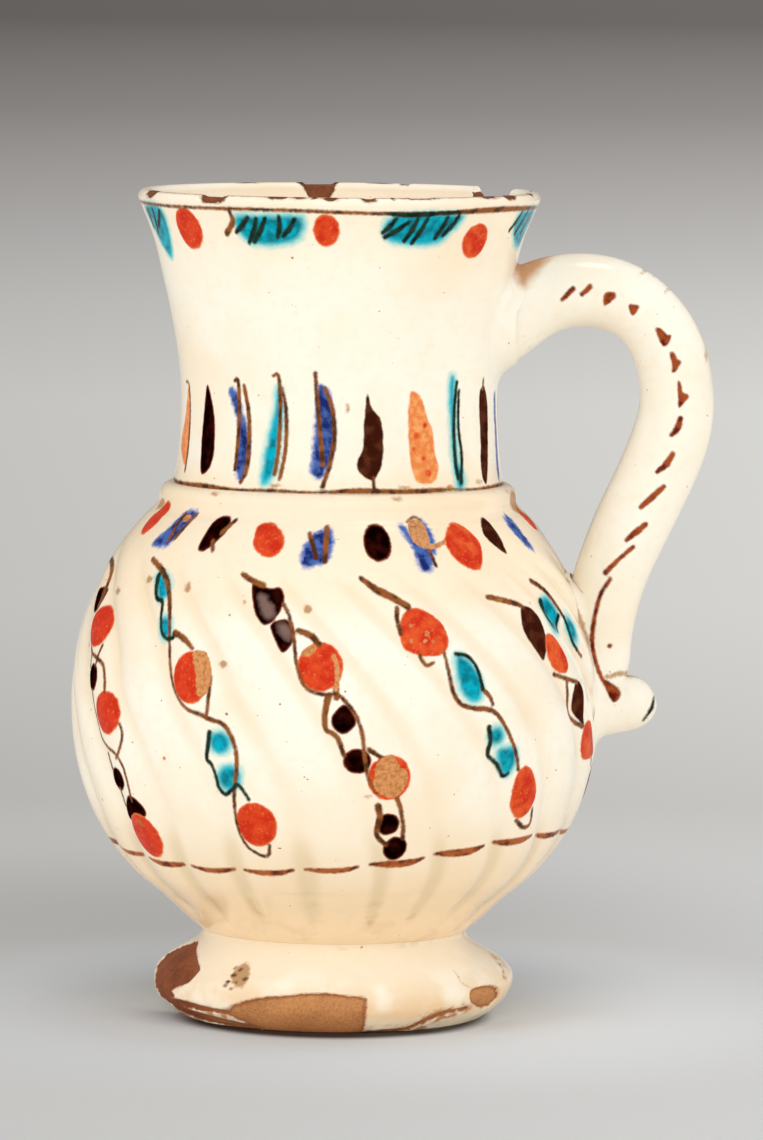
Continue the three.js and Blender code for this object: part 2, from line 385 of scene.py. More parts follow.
class Sheet:
    """A painted side: where its points lie, and how deep each lies inside each kind of mark, in
    millimetres. Places are an angle in degrees and a height, or two lengths on a flat sheet."""

    def __init__(self, across, height, outline=None):
        self.across = across
        self.height = height
        self.outline = outline
        self.turn = 0
        self.depth = {}

    def layer(self, kind):
        if kind not in self.depth:
            self.depth[kind] = np.full(self.across.shape, -FAR, float)
        return self.depth[kind]

    def nearby(self, points, reach):
        """The places round some points, and both in lengths from the points' middle."""
        points = np.array(points, float)
        middle = (points.min(0) + points.max(0)) / 2
        scale = 1
        gap = self.across - middle[0] - self.turn
        if self.outline is not None:
            scale = math.radians(1) * radius_at(self.outline, middle[1])
            gap = (gap + 180) % 360 - 180
        points = (points - middle) * [scale, 1]
        span = np.abs(points).max(0) + reach
        u, v = gap * scale, self.height - middle[1]
        near = (np.abs(u) < span[0]) & (np.abs(v) < span[1])
        return near, u[near], v[near], points

    def press(self, kind, near, depth):
        layer = self.layer(kind)
        layer[near] = np.maximum(layer[near], depth)

    def dab(self, kind, across, height, width, length, tilt=0):
        """An oval mark, leaning over to the right by a tilt."""
        near, u, v, _ = self.nearby([(across, height)], max(width, length) / 2 + REACH)
        lean = math.radians(tilt)
        side = u * math.cos(lean) - v * math.sin(lean)
        up = u * math.sin(lean) + v * math.cos(lean)
        size = np.hypot(side / width, up / length) * 2
        self.press(kind, near, (1 - size) * min(width, length) / 2)

    def patch(self, kind, outline):
        """A mark with a free outline."""
        near, u, v, points = self.nearby(outline, REACH)
        line = flowing(points, closed=True)
        distance = np.full(u.shape, np.inf)
        inside = np.zeros(u.shape, bool)
        for start, end in zip(line, line[1:]):
            distance = np.minimum(distance, from_segment(u, v, start, end)[1])
            (u0, v0), (u1, v1) = start, end
            if v0 != v1:
                inside ^= ((v0 > v) != (v1 > v)) & (u < u0 + (v - v0) * (u1 - u0) / (v1 - v0))
        self.press(kind, near, np.where(inside, distance, -distance))

    def stroke(self, kind, points, *widths):
        """A brush line. Its widths are spread evenly along it."""
        near, u, v, points = self.nearby(points, REACH)
        line = flowing(points)
        halves = np.interp(np.linspace(0, 1, len(line)), np.linspace(0, 1, len(widths)), widths) / 2
        depth = np.full(u.shape, -float(FAR))
        for start, end, first, last in zip(line, line[1:], halves, halves[1:]):
            along, distance = from_segment(u, v, start, end)
            depth = np.maximum(depth, first + (last - first) * along - distance)
        self.press(kind, near, depth)

    def dabs(self, kind, ovals):
        for oval in ovals:
            self.dab(kind, *oval)

    def patches(self, kind, outlines):
        for outline in outlines:
            self.patch(kind, outline)

    def strokes(self, kind, lines):
        """Brush lines, each with its points and then its widths."""
        for points, *widths in lines:
            self.stroke(kind, points, *widths)


# Pattern of the belly, as places in degrees and millimetres

def vine_one(sheet):
    """Dark vine with three red dots, at the far left."""
    sheet.strokes("brown", [
        ([(-87.5, 99.5), (-82, 99), (-77, 97), (-73.5, 92.5), (-72.8, 90.2)], 1, 1.2, 0.9),
        ([(-71.5, 84), (-69, 80.8), (-65, 79.8), (-61.5, 78.5), (-60, 75.5), (-59.5, 73)], 0.8),
        ([(-63.7, 82.5), (-64.4, 80.5), (-65, 78.2)], 0.7),
        ([(-68.7, 81), (-68.4, 77.5)], 0.7),
        ([(-65.8, 72.5), (-65, 69), (-63.5, 65.5), (-62.3, 62.8), (-59, 61), (-55.8, 60), (-53.4, 57.8),
          (-52.4, 54.5), (-52.3, 50)], 0.7),
        ([(-53.7, 66.5), (-52.7, 64.5), (-53.5, 61.5), (-55.5, 59)], 0.7),
        ([(-59.3, 59.5), (-58.6, 56.2)], 0.9),
        ([(-56.7, 52), (-56.5, 48.5)], 0.7),
    ])
    sheet.patches("manganese", [
        [(-78.5, 93.5), (-73, 93.8), (-72.4, 90.5), (-74, 88.8), (-76.5, 89.8)],
        [(-53, 51), (-49.5, 49.8), (-48.2, 47.5), (-52, 45), (-56.4, 45.4), (-56.4, 48)],
    ])
    sheet.dabs("red", [(-68, 86.3, 10.7, 9), (-58.5, 68.5, 9.9, 9.4), (-51.5, 42.3, 9.7, 9.8)])
    sheet.dabs("manganese", [(-65.8, 75.5, 5, 5.8), (-56.5, 54.3, 5.3, 5)])
    sheet.dab("stain", -51.5, 45.2, 2.2, 1.2, 30)


def vine_two(sheet):
    """Turquoise vine with two red dots, left of the front."""
    sheet.strokes("brown", [
        ([(-55.8, 101.5), (-53, 100.7), (-49.5, 99.5), (-46, 97.3), (-43.2, 94), (-41.2, 89.8),
          (-40.1, 85.5), (-39.2, 81), (-37.7, 76.4), (-35.5, 73), (-33, 71.2), (-30, 70.5),
          (-26.8, 69.4)], 0.9, 1.1, 0.9, 0.7, 0.7, 1),
        ([(-26.8, 69.4), (-24.3, 68.7), (-22.4, 66.3), (-21.2, 62.8), (-21.2, 59), (-22, 55), (-22.5, 51),
          (-22.4, 45.8), (-20.9, 42.2), (-18, 40.4), (-15.8, 40.3),
          (-15.1, 42.5)], 0.9, 0.8, 0.8, 0.6, 0.6),
        ([(-38.8, 87.1), (-36, 86.1), (-33.2, 84.2)], 1.3, 1.2, 0.7),
        ([(-27.8, 78.5), (-27.8, 74.8), (-28, 70.8)], 0.7),
    ])
    sheet.strokes("dark", [
        ([(-49.9, 98.5), (-49, 96), (-47.5, 93.8), (-45, 93.1), (-44.3, 90), (-43.3, 87), (-41, 85.6),
          (-39, 86.1)], 1.2, 0.8, 0.8),
        ([(-27.4, 66.7), (-27.9, 64), (-28.6, 61), (-27.4, 59.7), (-26.4, 56.8), (-26.1, 54.8),
          (-24.4, 53.5), (-22.5, 54.8), (-21, 55.8), (-18.8, 52.8)], 1.1, 0.8, 0.8, 0.7),
    ])
    sheet.patches("turquoise", [
        [(-50.8, 98.2), (-48, 99), (-45, 97), (-44.2, 94.5), (-46.5, 93.5), (-48.5, 95.5)],
        [(-44.3, 89.7), (-41.2, 90), (-39.9, 87), (-41.4, 85.7), (-43.4, 86.4)],
    ])
    sheet.dabs("red", [(-32.6, 78.1, 9.7, 11.2), (-17.7, 47.2, 9.2, 9.8)])
    sheet.patch("buff", [
        (-32.8, 83.4), (-29.7, 83.4), (-27.7, 79.2), (-28.2, 75.2), (-30.5, 74.6), (-31.4, 78.8),
    ])
    sheet.dabs("turquoise", [(-25, 64.7, 5, 4.8), (-23.2, 57.2, 6.1, 5, -35)])


def vine_three(sheet):
    """Dark vine at the front, with two worn red dots."""
    sheet.strokes("brown", [
        ([(-24, 99.9), (-20.8, 98.7), (-17.8, 97.8)], 0.9, 1.1, 1),
        ([(-12.3, 94.2), (-10.5, 91.5), (-9.1, 87), (-8.3, 81.8), (-6.5, 77.4), (-3, 75.7), (0.5, 75.7),
          (2.7, 73.9), (4.6, 71.3), (6, 67.3), (6.5, 63), (7.5, 57.8), (9.5, 54.8)], 0.7),
        ([(-8.3, 88.8), (-5.4, 87.8), (-3.4, 86)], 1, 1.3, 1),
        ([(0.4, 76.8), (0.5, 75)], 1.1),
        ([(-1.2, 75.5), (-1.9, 71.8), (-1.7, 68.3), (0.6, 66.7), (2.2, 62.7)], 1.4, 1, 0.9),
        ([(7.5, 64), (10.2, 62.3)], 1, 0.8),
        ([(13.9, 53.5), (15, 50.8), (15.9, 47), (16.2, 44.6)], 1, 0.7, 1),
        ([(9.9, 51.8), (10.4, 49.2), (10, 46), (11, 44.2), (12.6, 43.1)], 1.3, 1, 0.9),
    ])
    sheet.patches("manganese", [
        [(-20.6, 98.2), (-16.5, 97.2), (-13.5, 97.3), (-12.3, 94.6), (-13.8, 91.2), (-16.4, 89.8),
         (-19, 92.2)],
        [(-14.7, 89.8), (-11.5, 91), (-9.4, 89.2), (-9.6, 86.2), (-11.7, 84.2), (-13.5, 86.8)],
        [(2, 73.6), (3.8, 72), (4.5, 69.6), (2.2, 67.4), (0, 68.6), (-0.4, 71)],
    ])
    sheet.patches("haze", [
        [(-19, 96.4), (-15.8, 95.2), (-13.8, 92), (-15.8, 90.8), (-18, 92.8)],
        [(-13.5, 89.8), (-11, 90.4), (-9.8, 88.5), (-10.2, 86.6), (-12, 87.6)],
    ])
    sheet.dabs("red", [(-3.1, 81.4, 9.8, 10.2), (12, 58, 9.3, 9.8)])
    sheet.patches("buff", [
        [(-7.5, 84.2), (-6, 85.6), (-4.2, 85.7), (-4.4, 84.2), (-6.5, 83.4)],
        [(9.2, 61.2), (12.3, 62.8), (14.2, 60.4), (16, 58.8), (15.4, 55.4), (12.5, 53.4), (8.8, 55.8)],
    ])
    sheet.stroke("buff", [(-0.2, 83.8), (0.6, 80.8), (0.4, 76.8)], 0.9, 1.2, 1)
    sheet.dabs("manganese", [(5, 61.5, 5.8, 5.2), (12.3, 47.7, 4.9, 4.7), (14.8, 42.2, 4.9, 5.2)])
    sheet.dab("stain", 7.5, 53.8, 1.2, 0.7)


def vine_four(sheet):
    """Turquoise vine right of the front, with a large pitted red dot."""
    sheet.strokes("brown", [
        ([(6.3, 99.7), (9.5, 97.6), (13, 96), (17.2, 93.8)], 0.8, 1.6, 1.3),
        ([(14.5, 93.5), (14.4, 91), (15.1, 88.2)], 0.9, 0.7),
        ([(19.2, 83.5), (20.5, 81.5), (22.1, 82)], 0.7, 0.6),
        ([(24.7, 84), (25.5, 80), (26.5, 75.8), (28.2, 73.3), (31.2, 72.2), (34.7, 71.8), (37.2, 70.4),
          (40.1, 66.4), (42.5, 61.8), (43.5, 58.5)], 0.6, 0.8, 1, 0.8, 0.8),
        ([(33.4, 76.2), (35, 74.6), (35.8, 72.9)], 1, 0.7),
        ([(46.5, 47), (49.5, 45.2), (52.1, 45.6), (51.1, 49.2)], 0.8, 0.9, 0.6),
    ])
    sheet.patches("red", [
        [(17.2, 93.4), (21.2, 93), (25, 90.4), (26.2, 87), (24.6, 84), (20.5, 83.4), (16.1, 84.8),
         (14.8, 87.6), (15.1, 91)],
        [(43.6, 58), (46.5, 58.9), (49.5, 56), (51.1, 52), (49.6, 48.4), (46.5, 47.4), (43.4, 50),
         (42.8, 54)],
    ])
    sheet.dabs("buff", [
        (17.2, 90, 0.9, 1), (21, 88.3, 1.2, 1.3), (20.5, 86.7, 1, 0.9), (22.3, 86.5, 0.9, 0.8),
        (17.3, 86.8, 0.8, 0.8),
    ])
    sheet.patches("turquoise", [
        [(27.5, 83.4), (30.5, 82.5), (33, 79), (33.3, 76), (31.8, 73.6), (28.8, 75), (27.4, 78.8)],
        [(37.6, 63), (42, 63.2), (42.6, 60), (41, 57.5), (38.8, 58.5)],
    ])
    sheet.strokes("dark", [
        ([(27.5, 83.8), (30.6, 83.1), (32.6, 80.4), (33.4, 76.2)], 0.8),
        ([(35, 68), (35.6, 65), (35.3, 62), (37.6, 60), (39.6, 57.2), (41, 57.7)], 1, 0.8, 0.7),
    ])
    sheet.dab("turquoise", 37, 66, 3.6, 4)


def vine_five(sheet):
    """Dark vine at the right."""
    sheet.strokes("brown", [
        ([(39.8, 95.1), (44, 94.2), (48.5, 93.1), (49.6, 92.4)], 1, 1.1, 0.8),
        ([(57, 77.8), (60.6, 76.7), (63.5, 76), (65.7, 75.4)], 0.8, 0.9),
        ([(61.3, 76.5), (61.8, 73), (62.2, 69), (65, 67), (69.2, 65.4)], 0.7, 0.9),
        ([(77.5, 58), (78.8, 56)], 0.7),
        ([(84.2, 48), (86.8, 46.4), (89.2, 45.4)], 0.7),
    ])
    sheet.patches("umber", [
        [(49, 92.6), (52.5, 92.3), (55, 89.5), (55.3, 85), (54, 80.9), (51.5, 83.4), (48.8, 87),
         (48.2, 90)],
        [(64.5, 75), (67, 75.5), (68.9, 73), (69, 68), (70, 65.4), (67, 67), (63.5, 70)],
    ])
    sheet.patches("red", [
        [(55.1, 86), (58, 86.2), (61, 83), (62.4, 79.5), (60.6, 77.7), (57, 78.9), (55, 82)],
        [(70, 66), (73.5, 66.2), (76.2, 62), (78.2, 58.5), (72, 58), (69.4, 61.5)],
    ])
    sheet.dab("manganese", 82.5, 52, 4.8, 8.5, -15)
    sheet.dab("red", 92.8, 42.5, 8.1, 9)


def vine_six(sheet):
    """Short turquoise vine beside the handle."""
    sheet.strokes("brown", [
        ([(56.8, 97.6), (61, 95.5), (64, 92.5), (66.7, 89.2)], 1, 1.1, 0.8),
        ([(70.8, 82), (72.8, 80.3)], 0.7),
    ])
    sheet.strokes("dark", [
        ([(66.7, 89.2), (69, 84), (70.8, 82)], 0.8),
        ([(58.6, 93.2), (59, 90.2), (60.4, 88)], 1.2, 0.8),
        ([(64.4, 89.8), (62.2, 86.6)], 0.9, 0.7),
    ])
    sheet.patch("turquoise", [
        (59, 93.6), (61.8, 93.6), (64.4, 90), (62.2, 86.6), (60, 86.6), (58.2, 89.6),
    ])
    sheet.dab("turquoise", 69.2, 86.5, 4, 6.2, -25)


def paint_vines(sheet):
    """Vines on every other lobe. The unseen ones at the back repeat those at the front."""
    front = [vine_one, vine_two, vine_three, vine_four, vine_five, vine_six]
    back = [(vine_three, 131), (vine_two, 196), (vine_five, 131), (vine_four, 196), (vine_three, -107)]
    for vine in front:
        vine(sheet)
    for vine, turn in back:
        sheet.turn = turn
        vine(sheet)
    sheet.turn = 0


def paint_shoulder_front(sheet):
    """Row of spots under the collar."""
    sheet.dabs("red", [(-70, 109.4, 6.1, 7.2), (81, 109.4, 6.2, 5.2)])
    sheet.patches("cobalt", [
        [(-55.3, 111.5), (-49.2, 111.4), (-50.8, 107.5), (-53, 104.2), (-60, 104.4), (-57.5, 108)],
        [(-6.5, 108.5), (-1.2, 109.4), (-1.4, 104.2), (-5.2, 101.8), (-8.4, 101.8), (-9.3, 104.6)],
        [(18.6, 109.8), (21, 110), (23, 106.5), (26.2, 105.5), (26, 102.2), (23.5, 100.5), (21.6, 102),
         (21, 106)],
        [(60.7, 109.4), (65.5, 111), (66, 107), (66.6, 103.6), (64.2, 104), (61.8, 106)],
    ])
    sheet.strokes("brown", [
        ([(-55.2, 111), (-53.5, 105.6)], 1, 0.8),
        ([(-49.3, 111), (-51.2, 106.2)], 0.9),
        ([(-34.8, 108), (-32.5, 110.5)], 0.9),
        ([(-36.5, 106.2), (-35.3, 104.4)], 0.8),
        ([(-7.7, 108.5), (-6.5, 106.5), (-5.2, 103.8)], 0.8, 0.9),
        ([(-2.7, 109.8), (-2.8, 103)], 1),
        ([(22, 110.8), (24.6, 111.8), (26.6, 111.2)], 0.4),
        ([(26, 105.4), (26.6, 102)], 0.7),
    ])
    sheet.dab("buff", -52.4, 110.2, 2.3, 1.5)
    sheet.patch("manganese", [
        (-39.7, 110.5), (-35, 111), (-33.5, 108.5), (-36, 105.6), (-38.3, 104), (-40.4, 105),
    ])
    sheet.patches("red", [
        [(-23.8, 109.8), (-20, 110.5), (-16.5, 109.2), (-14.4, 106.8), (-15.8, 104), (-19, 103.6),
         (-22.5, 105), (-23.8, 107)],
        [(32, 107.5), (36, 110.2), (40, 109.8), (43.3, 106.2), (40.5, 101.5), (37.5, 100.7),
         (33.5, 102.5), (31.5, 105.5)],
    ])
    sheet.dab("manganese", 11.5, 106.8, 5.8, 7.4)
    sheet.stroke("cobalt", [(26.6, 111), (27.6, 108.5), (27, 105)], 0.9, 1.6, 1.2)
    sheet.patch("buff", [
        (21.8, 110.5), (24.8, 111.4), (27.2, 110), (26.8, 106.5), (24.8, 105.4), (21.8, 107),
    ])
    sheet.stroke("buff", [(26, 106), (29, 106), (31.6, 106.7)], 1.2, 1, 0.8)
    sheet.patch("umber", [
        (46.5, 107.8), (49, 110.4), (52, 110.8), (52.8, 107), (52.2, 104.8), (51.6, 103.4), (48.5, 105.2),
    ])


def paint_shoulder_back(sheet):
    """Unseen spots at the back, in the same order."""
    kinds = ["cobalt", "manganese", "red"]
    for spot in range(11):
        angle = 93.5 + 16.4 * spot
        height = 106.6 + 0.5 * math.sin(spot)
        sheet.dab(kinds[spot % len(kinds)], angle, height, 6.6, 7.2, 12 * math.sin(2 * spot))


def paint_dashes(sheet):
    """One dash of brown on every lobe, low on the belly. The line of dashes sinks to the left."""
    heights = [39.5, 38.4, 37.3, 36.3, 36.1, 36.4, 37.3, 38.8, 40.8, 42.2, 42.2, 41.4, 40.6, 40, 40.2,
               40.5, 40.4, 40.1, 39.8, 39.7, 40, 39.9]
    for dash, height in enumerate(heights):
        middle = -98.6 + 16.36 * dash
        slope = 0.5 * (heights[(dash + 1) % FLUTE_COUNT] - heights[dash - 1]) / 3
        width = 0.9 + 0.35 * math.sin(1.7 * dash) ** 2 + (0.5 if 7 <= dash <= 9 else 0)
        sheet.stroke("dash", [
            (middle - 6.7, height - slope + 0.3), (middle - 2, height - 0.1 * slope - 0.25),
            (middle + 3, height + 0.3 * slope - 0.15), (middle + 6.6, height + slope + 0.35),
        ], 0.5, width, width, 0.6)


def paint_belly_specks(sheet):
    """Small smudges and specks on the front."""
    sheet.dabs("stain", [
        (-53.2, 97.3, 2.4, 1.6), (-39.2, 96.5, 1.9, 2), (-65.2, 94, 2.7, 1.4), (-25.3, 81.2, 2, 1.6),
        (-6.5, 93.2, 1.8, 1.8), (-22.3, 94.2, 0.8, 0.8), (-73.5, 81.8, 2, 1), (43, 94.3, 1.4, 0.8),
    ])
    sheet.dab("red", -39.3, 60.4, 0.9, 0.8)


# Pattern of the neck

def hatched_patch(sheet, outline, slants):
    """Turquoise under the rim line, crossed by slanting dark strokes."""
    sheet.patch("turquoise", outline)
    for top, bottom in slants:
        middle = ((top[0] + bottom[0]) / 2 + 0.4, (top[1] + bottom[1]) / 2)
        sheet.stroke("dark", [top, middle, bottom], 0.7, 1.1, 0.9)


def paint_rim(sheet):
    """Brown line under the lip, with red dots and turquoise patches hanging from it."""
    turns = np.arange(-180, 181, 6)
    drop = 177 - 0.25 * np.sin(np.radians(2 * turns + 20)) - 0.15 * np.sin(np.radians(5 * turns))
    sheet.strokes("brown", [
        (np.stack([turns, drop], axis=1), 0.6, 0.5, 0.6, 0.7, 0.5, 0.6),
        ([(36.5, 176.9), (45, 177.2), (54, 177.3), (72, 177), (84, 176.8)], 0.9, 0.8, 0.9, 0.7),
        ([(-33, 176.8), (-32.4, 174.5), (-35.6, 171.8)], 0.7, 1.1, 1.2),
    ])
    sheet.stroke("dark", [
        (13.5, 176.8), (18, 176.4), (24, 176.4), (30, 176.7), (36.5, 176.9),
    ], 0.5, 1, 1.1, 0.8, 0.6)
    sheet.dabs("red", [(-50.7, 172.5, 8.3, 9), (-3.7, 173, 5.7, 7), (45.6, 170.5, 7.5, 7.5)])
    hatched_patch(sheet, [
        (-78, 176.4), (-63, 176.4), (-64, 169), (-67.5, 165.8), (-75, 170),
    ], [
        ((-75, 176), (-77, 172)), ((-70, 176), (-73, 170.8)), ((-64.5, 176), (-70, 172.4)),
    ])
    hatched_patch(sheet, [
        (-30.5, 175.8), (-20, 176), (-10.5, 175.8), (-11.8, 171.4), (-19, 169.6), (-27.5, 170),
        (-31.5, 172.8),
    ], [
        ((-27.2, 175.5), (-32, 172.2)), ((-24.6, 175.2), (-28.2, 170)), ((-21.8, 175.4), (-26.4, 170.2)),
        ((-17.4, 175.8), (-18.6, 171.4)), ((-12.8, 175.4), (-16.8, 171.6)),
    ])
    hatched_patch(sheet, [
        (15.5, 176), (36.5, 176.4), (37, 174), (31, 170.4), (22, 170), (14.2, 171.4),
    ], [
        ((16.6, 175.6), (13, 172.6)), ((20.5, 174.8), (13.8, 171.6)), ((23.2, 175.6), (20, 170.8)),
        ((26.2, 175.6), (22.6, 170.4)), ((32.8, 175.8), (30, 171.4)), ((36.6, 176), (32.6, 172)),
    ])
    hatched_patch(sheet, [
        (65, 176), (81, 176.4), (81, 171), (76, 168.2), (66.5, 171.2),
    ], [
        ((66.5, 176.4), (62.5, 172.4)), ((71, 176), (67.6, 171.6)), ((77, 176), (73.5, 171.6)),
    ])


def paint_rim_back(sheet):
    """Unseen dots and patches of the rim at the back."""
    for place in range(4):
        middle = 118 + 45 * place
        sheet.dab("red", middle - 22, 171.6, 8, 8)
        outline = [(middle - 9, 176.2), (middle + 9, 176.2), (middle + 8, 171), (middle - 7, 170.2)]
        slants = [((middle + lean + 2, 175.8), (middle + lean - 2, 171)) for lean in (-6, -2, 3, 7)]
        hatched_patch(sheet, outline, slants)


def paint_neck_front(sheet):
    """Row of upright brush strokes over the collar."""
    sheet.patches("thin", [
        [(-71.4, 137.5), (-69.2, 136), (-69, 121.5), (-75, 122), (-80, 125.5), (-75.5, 131)],
        [(27, 138.5), (31, 137), (33.6, 133), (36, 129.5), (36.6, 125), (38, 121.8), (35.5, 118.8),
         (30, 118.5), (27, 120.8), (25.6, 130), (25.9, 136)],
    ])
    sheet.strokes("brown", [
        ([(-73, 138.8), (-69.8, 137.6), (-69.2, 128), (-69.6, 119.6)], 0.6, 0.7),
        ([(-40, 140), (-38.4, 139.5), (-38.3, 130), (-39, 121)], 0.7, 0.9, 0.8),
        ([(-35.9, 139), (-34, 133), (-33.4, 126), (-34, 120.8), (-35.9, 118.3)], 0.8, 1, 1, 0.7),
        ([(-23.6, 141.4), (-21.8, 141.6), (-21, 137), (-21.4, 126), (-22.5, 120.4)], 0.6, 0.8, 0.8),
        ([(-20.4, 138.8), (-18.8, 134), (-18.7, 126), (-20.4, 119.4)], 0.6, 0.8, 0.7),
        ([(-8, 142.3), (-7.1, 135), (-5.5, 126), (-5.1, 122.8)], 0.7, 0.9),
        ([(-4.4, 139), (-1.9, 134.8), (-1, 128.8), (-2.4, 123), (-4.9, 118)], 0.7, 0.9, 0.8),
        ([(12.6, 120), (12.9, 117.3)], 0.6),
        ([(63.4, 138), (63.6, 140.2)], 0.6),
    ])
    sheet.patch("manganese", [
        (-55.4, 138.4), (-53, 136), (-50.7, 130), (-51, 122), (-56.2, 119.4), (-58.2, 124), (-57.9, 131),
    ])
    sheet.patches("cobalt", [
        [(-43.2, 137.8), (-39, 137.6), (-36, 132), (-33.4, 128), (-33.4, 122), (-36, 118.5), (-39, 121.8),
         (-38.6, 130)],
        [(-7.2, 139.6), (-3, 138.2), (-0.9, 132), (-1.2, 126), (-4.8, 120), (-9.2, 120.8), (-9, 124),
         (-8, 132)],
        [(76, 136), (79.2, 136.4), (81, 128), (79.6, 120), (76, 118.2), (77, 128)],
    ])
    sheet.patches("turquoise", [
        [(-22, 138.8), (-20.6, 136), (-21.6, 124), (-23, 120), (-27.2, 118.6), (-26.6, 125), (-24, 132)],
        [(43.4, 140.4), (45.4, 141), (46, 135), (47, 124), (49.8, 118.8), (46, 117), (44.5, 124),
         (44, 132)],
    ])
    sheet.patches("umber", [
        [(10.5, 138), (12.4, 134.8), (15.9, 132), (16.3, 124), (12.8, 119.5), (8.2, 120.8), (6.8, 123),
         (9, 126.5), (9.4, 132)],
        [(61.4, 138), (65, 138.5), (68.6, 134), (68, 127), (66.1, 121), (63, 117.4), (60.5, 120),
         (61.5, 128), (60.9, 135)],
    ])
    sheet.dabs("red", [
        (29, 128.8, 1.7, 1.6), (32.5, 131, 1.3, 1.3), (31.6, 124, 1.2, 1.2), (33.2, 120.8, 1.8, 1.7),
        (27.8, 126, 1, 1),
    ])
    sheet.strokes("dark", [
        ([(46.8, 140), (45.8, 132), (45.8, 123), (46.6, 119.4)], 0.8, 0.9),
        ([(48.1, 138), (48.1, 130), (49.2, 124), (47.8, 118.4)], 0.7, 0.9),
    ])
    sheet.dab("stain", 3.7, 134.8, 0.8, 1.6)


def paint_neck_back(sheet):
    """Unseen strokes at the back, in the same order."""
    kinds = ["red", "manganese", "cobalt", "turquoise", "cobalt", "manganese"]
    for stroke in range(11):
        angle = 95 + 17 * stroke
        kind = kinds[stroke % len(kinds)]
        leaf = [(angle - 0.6, 138.5), (angle, 132), (angle + 0.8, 126), (angle, 119.5)]
        sheet.stroke(kind, leaf, 1.5, 4.4, 4.8, 3)
        if kind in ("cobalt", "turquoise"):
            sheet.stroke("brown", [(angle + 1.5, 139), (angle + 3, 130), (angle + 2, 119)], 0.7, 0.9)
            sheet.stroke("brown", [(angle - 2, 140), (angle - 1, 130), (angle - 1, 120)], 0.7, 0.9)


def paint_neck_lines(sheet):
    """Brown line round the foot of the neck, drawn with an uneven brush, and a few drops under it."""
    turns = np.arange(-180, 181, 4)
    rise = 116.9 + 0.2 * np.sin(np.radians(3 * turns + 40)) + 0.12 * np.sin(np.radians(11 * turns))
    widths = 0.75 + 0.3 * np.sin(np.radians(5 * turns)) + 0.15 * np.sin(np.radians(13 * turns))
    sheet.stroke("brown", np.stack([turns, rise], axis=1), *widths)
    sheet.dabs("stain", [
        (-22, 118, 2.2, 0.8), (24, 117.8, 2.2, 0.8), (42, 117.6, 2.2, 0.8), (58, 118.2, 2.2, 0.8),
    ])


# Turned pieces

def raised(sheet, kind, rise, edge=0.3):
    """How far a kind of mark stands up from the glaze, or lies below it, at each place."""
    return rise * smoothstep(sheet.layer(kind), -edge, edge)


def spread(depths, rows, painted):
    """Layers over all rows of a piece out of layers over its painted rows."""
    layers = {}
    for kind, depth in depths.items():
        layers[kind] = np.full((rows, depth.shape[1]), -FAR, float)
        layers[kind][painted] = depth
    return layers


def body_piece():
    outside = evenly(BODY_OUTLINE, FINE)
    underside = evenly([(POLE_RADIUS, BODY_BASE), outside[0]], COARSE)[:-1]
    widest = (BELLY_RADIUS - BODY_WALL, BELLY_HEIGHT)
    cavity = joined(
        curve_between((WAIST_RADIUS - BODY_WALL, FLOOR_HEIGHT), LOW_BELLY_BEND, widest),
        curve_between(widest, HIGH_BELLY_BEND, (THROAT_RADIUS, SHOULDER_HEIGHT)),
    )
    inside = evenly(cavity[::-1], COARSE)
    floor = evenly([inside[-1], (POLE_RADIUS, FLOOR_HEIGHT)], COARSE)[1:]
    rows = np.vstack([underside, outside, inside, floor])
    angle, radius, height = turned_rows(rows, round(2 * math.pi * BELLY_RADIUS / FINE))
    painted = slice(len(underside), len(underside) + len(outside))
    turn, rise = angle[painted], height[painted]
    sheet = Sheet(np.degrees(turn), rise, BODY_OUTLINE)
    for paint in (paint_vines, paint_shoulder_front, paint_shoulder_back, paint_dashes,
                  paint_belly_specks):
        paint(sheet)
    relief = raised(sheet, "red", BELLY_RED_RISE) + raised(sheet, "manganese", MANGANESE_RISE)
    relief -= raised(sheet, "buff", WORN_DEPTH)
    radius[painted] = body_surface(turn, rise) + relief
    groove = smoothstep(flute_groove(turn, rise), 0.2, 0.95)
    above_dashes = smoothstep(rise, 38, 50)
    sheet.depth["pool"] = groove * (1 - above_dashes)
    # Painted shade: the grooves above the dashes are tinted darker, so that the flutes show more strongly
    sheet.depth["groove_shade"] = groove * above_dashes * smoothstep(rise, 20, 95)
    # Patchy brown low on the belly, strongest in the grooves
    sheet.depth["low_belly_brown"] = (0.3 + groove) * (1 - smoothstep(rise, 20, 33))
    poles = [(0, 0, BODY_BASE), (0, 0, FLOOR_HEIGHT)]
    return grid_piece("painted_body", turned_points(angle, radius, height), poles,
                      spread(sheet.depth, len(rows), painted))


# Breaks of the lip: middle and half width in degrees, depth in millimetres
LIP_BREAKS = [
    (-173, 4.5, 0.5), (123.5, 10.3, 2.9), (-39, 4.2, 0.5),
    (8.5, 1.6, 0.3), (24, 3.5, 0.2), (160, 1.5, 0.3),
]


def lip_break(angle):
    """Depth of the missing clay along the lip."""
    turn = np.degrees(angle)
    rough = 0.25 * np.sin(1.9 * turn) + 0.18 * np.sin(4.3 * turn + 1)
    loss = np.zeros(angle.shape)
    for middle, half, depth in LIP_BREAKS:
        gap = np.abs((turn - middle + 180) % 360 - 180)
        ragged = gap + rough * min(half, 2) / 2
        loss = np.maximum(loss, depth * (1 - smoothstep(ragged, half - 0.7, half + 0.7)))
    return loss


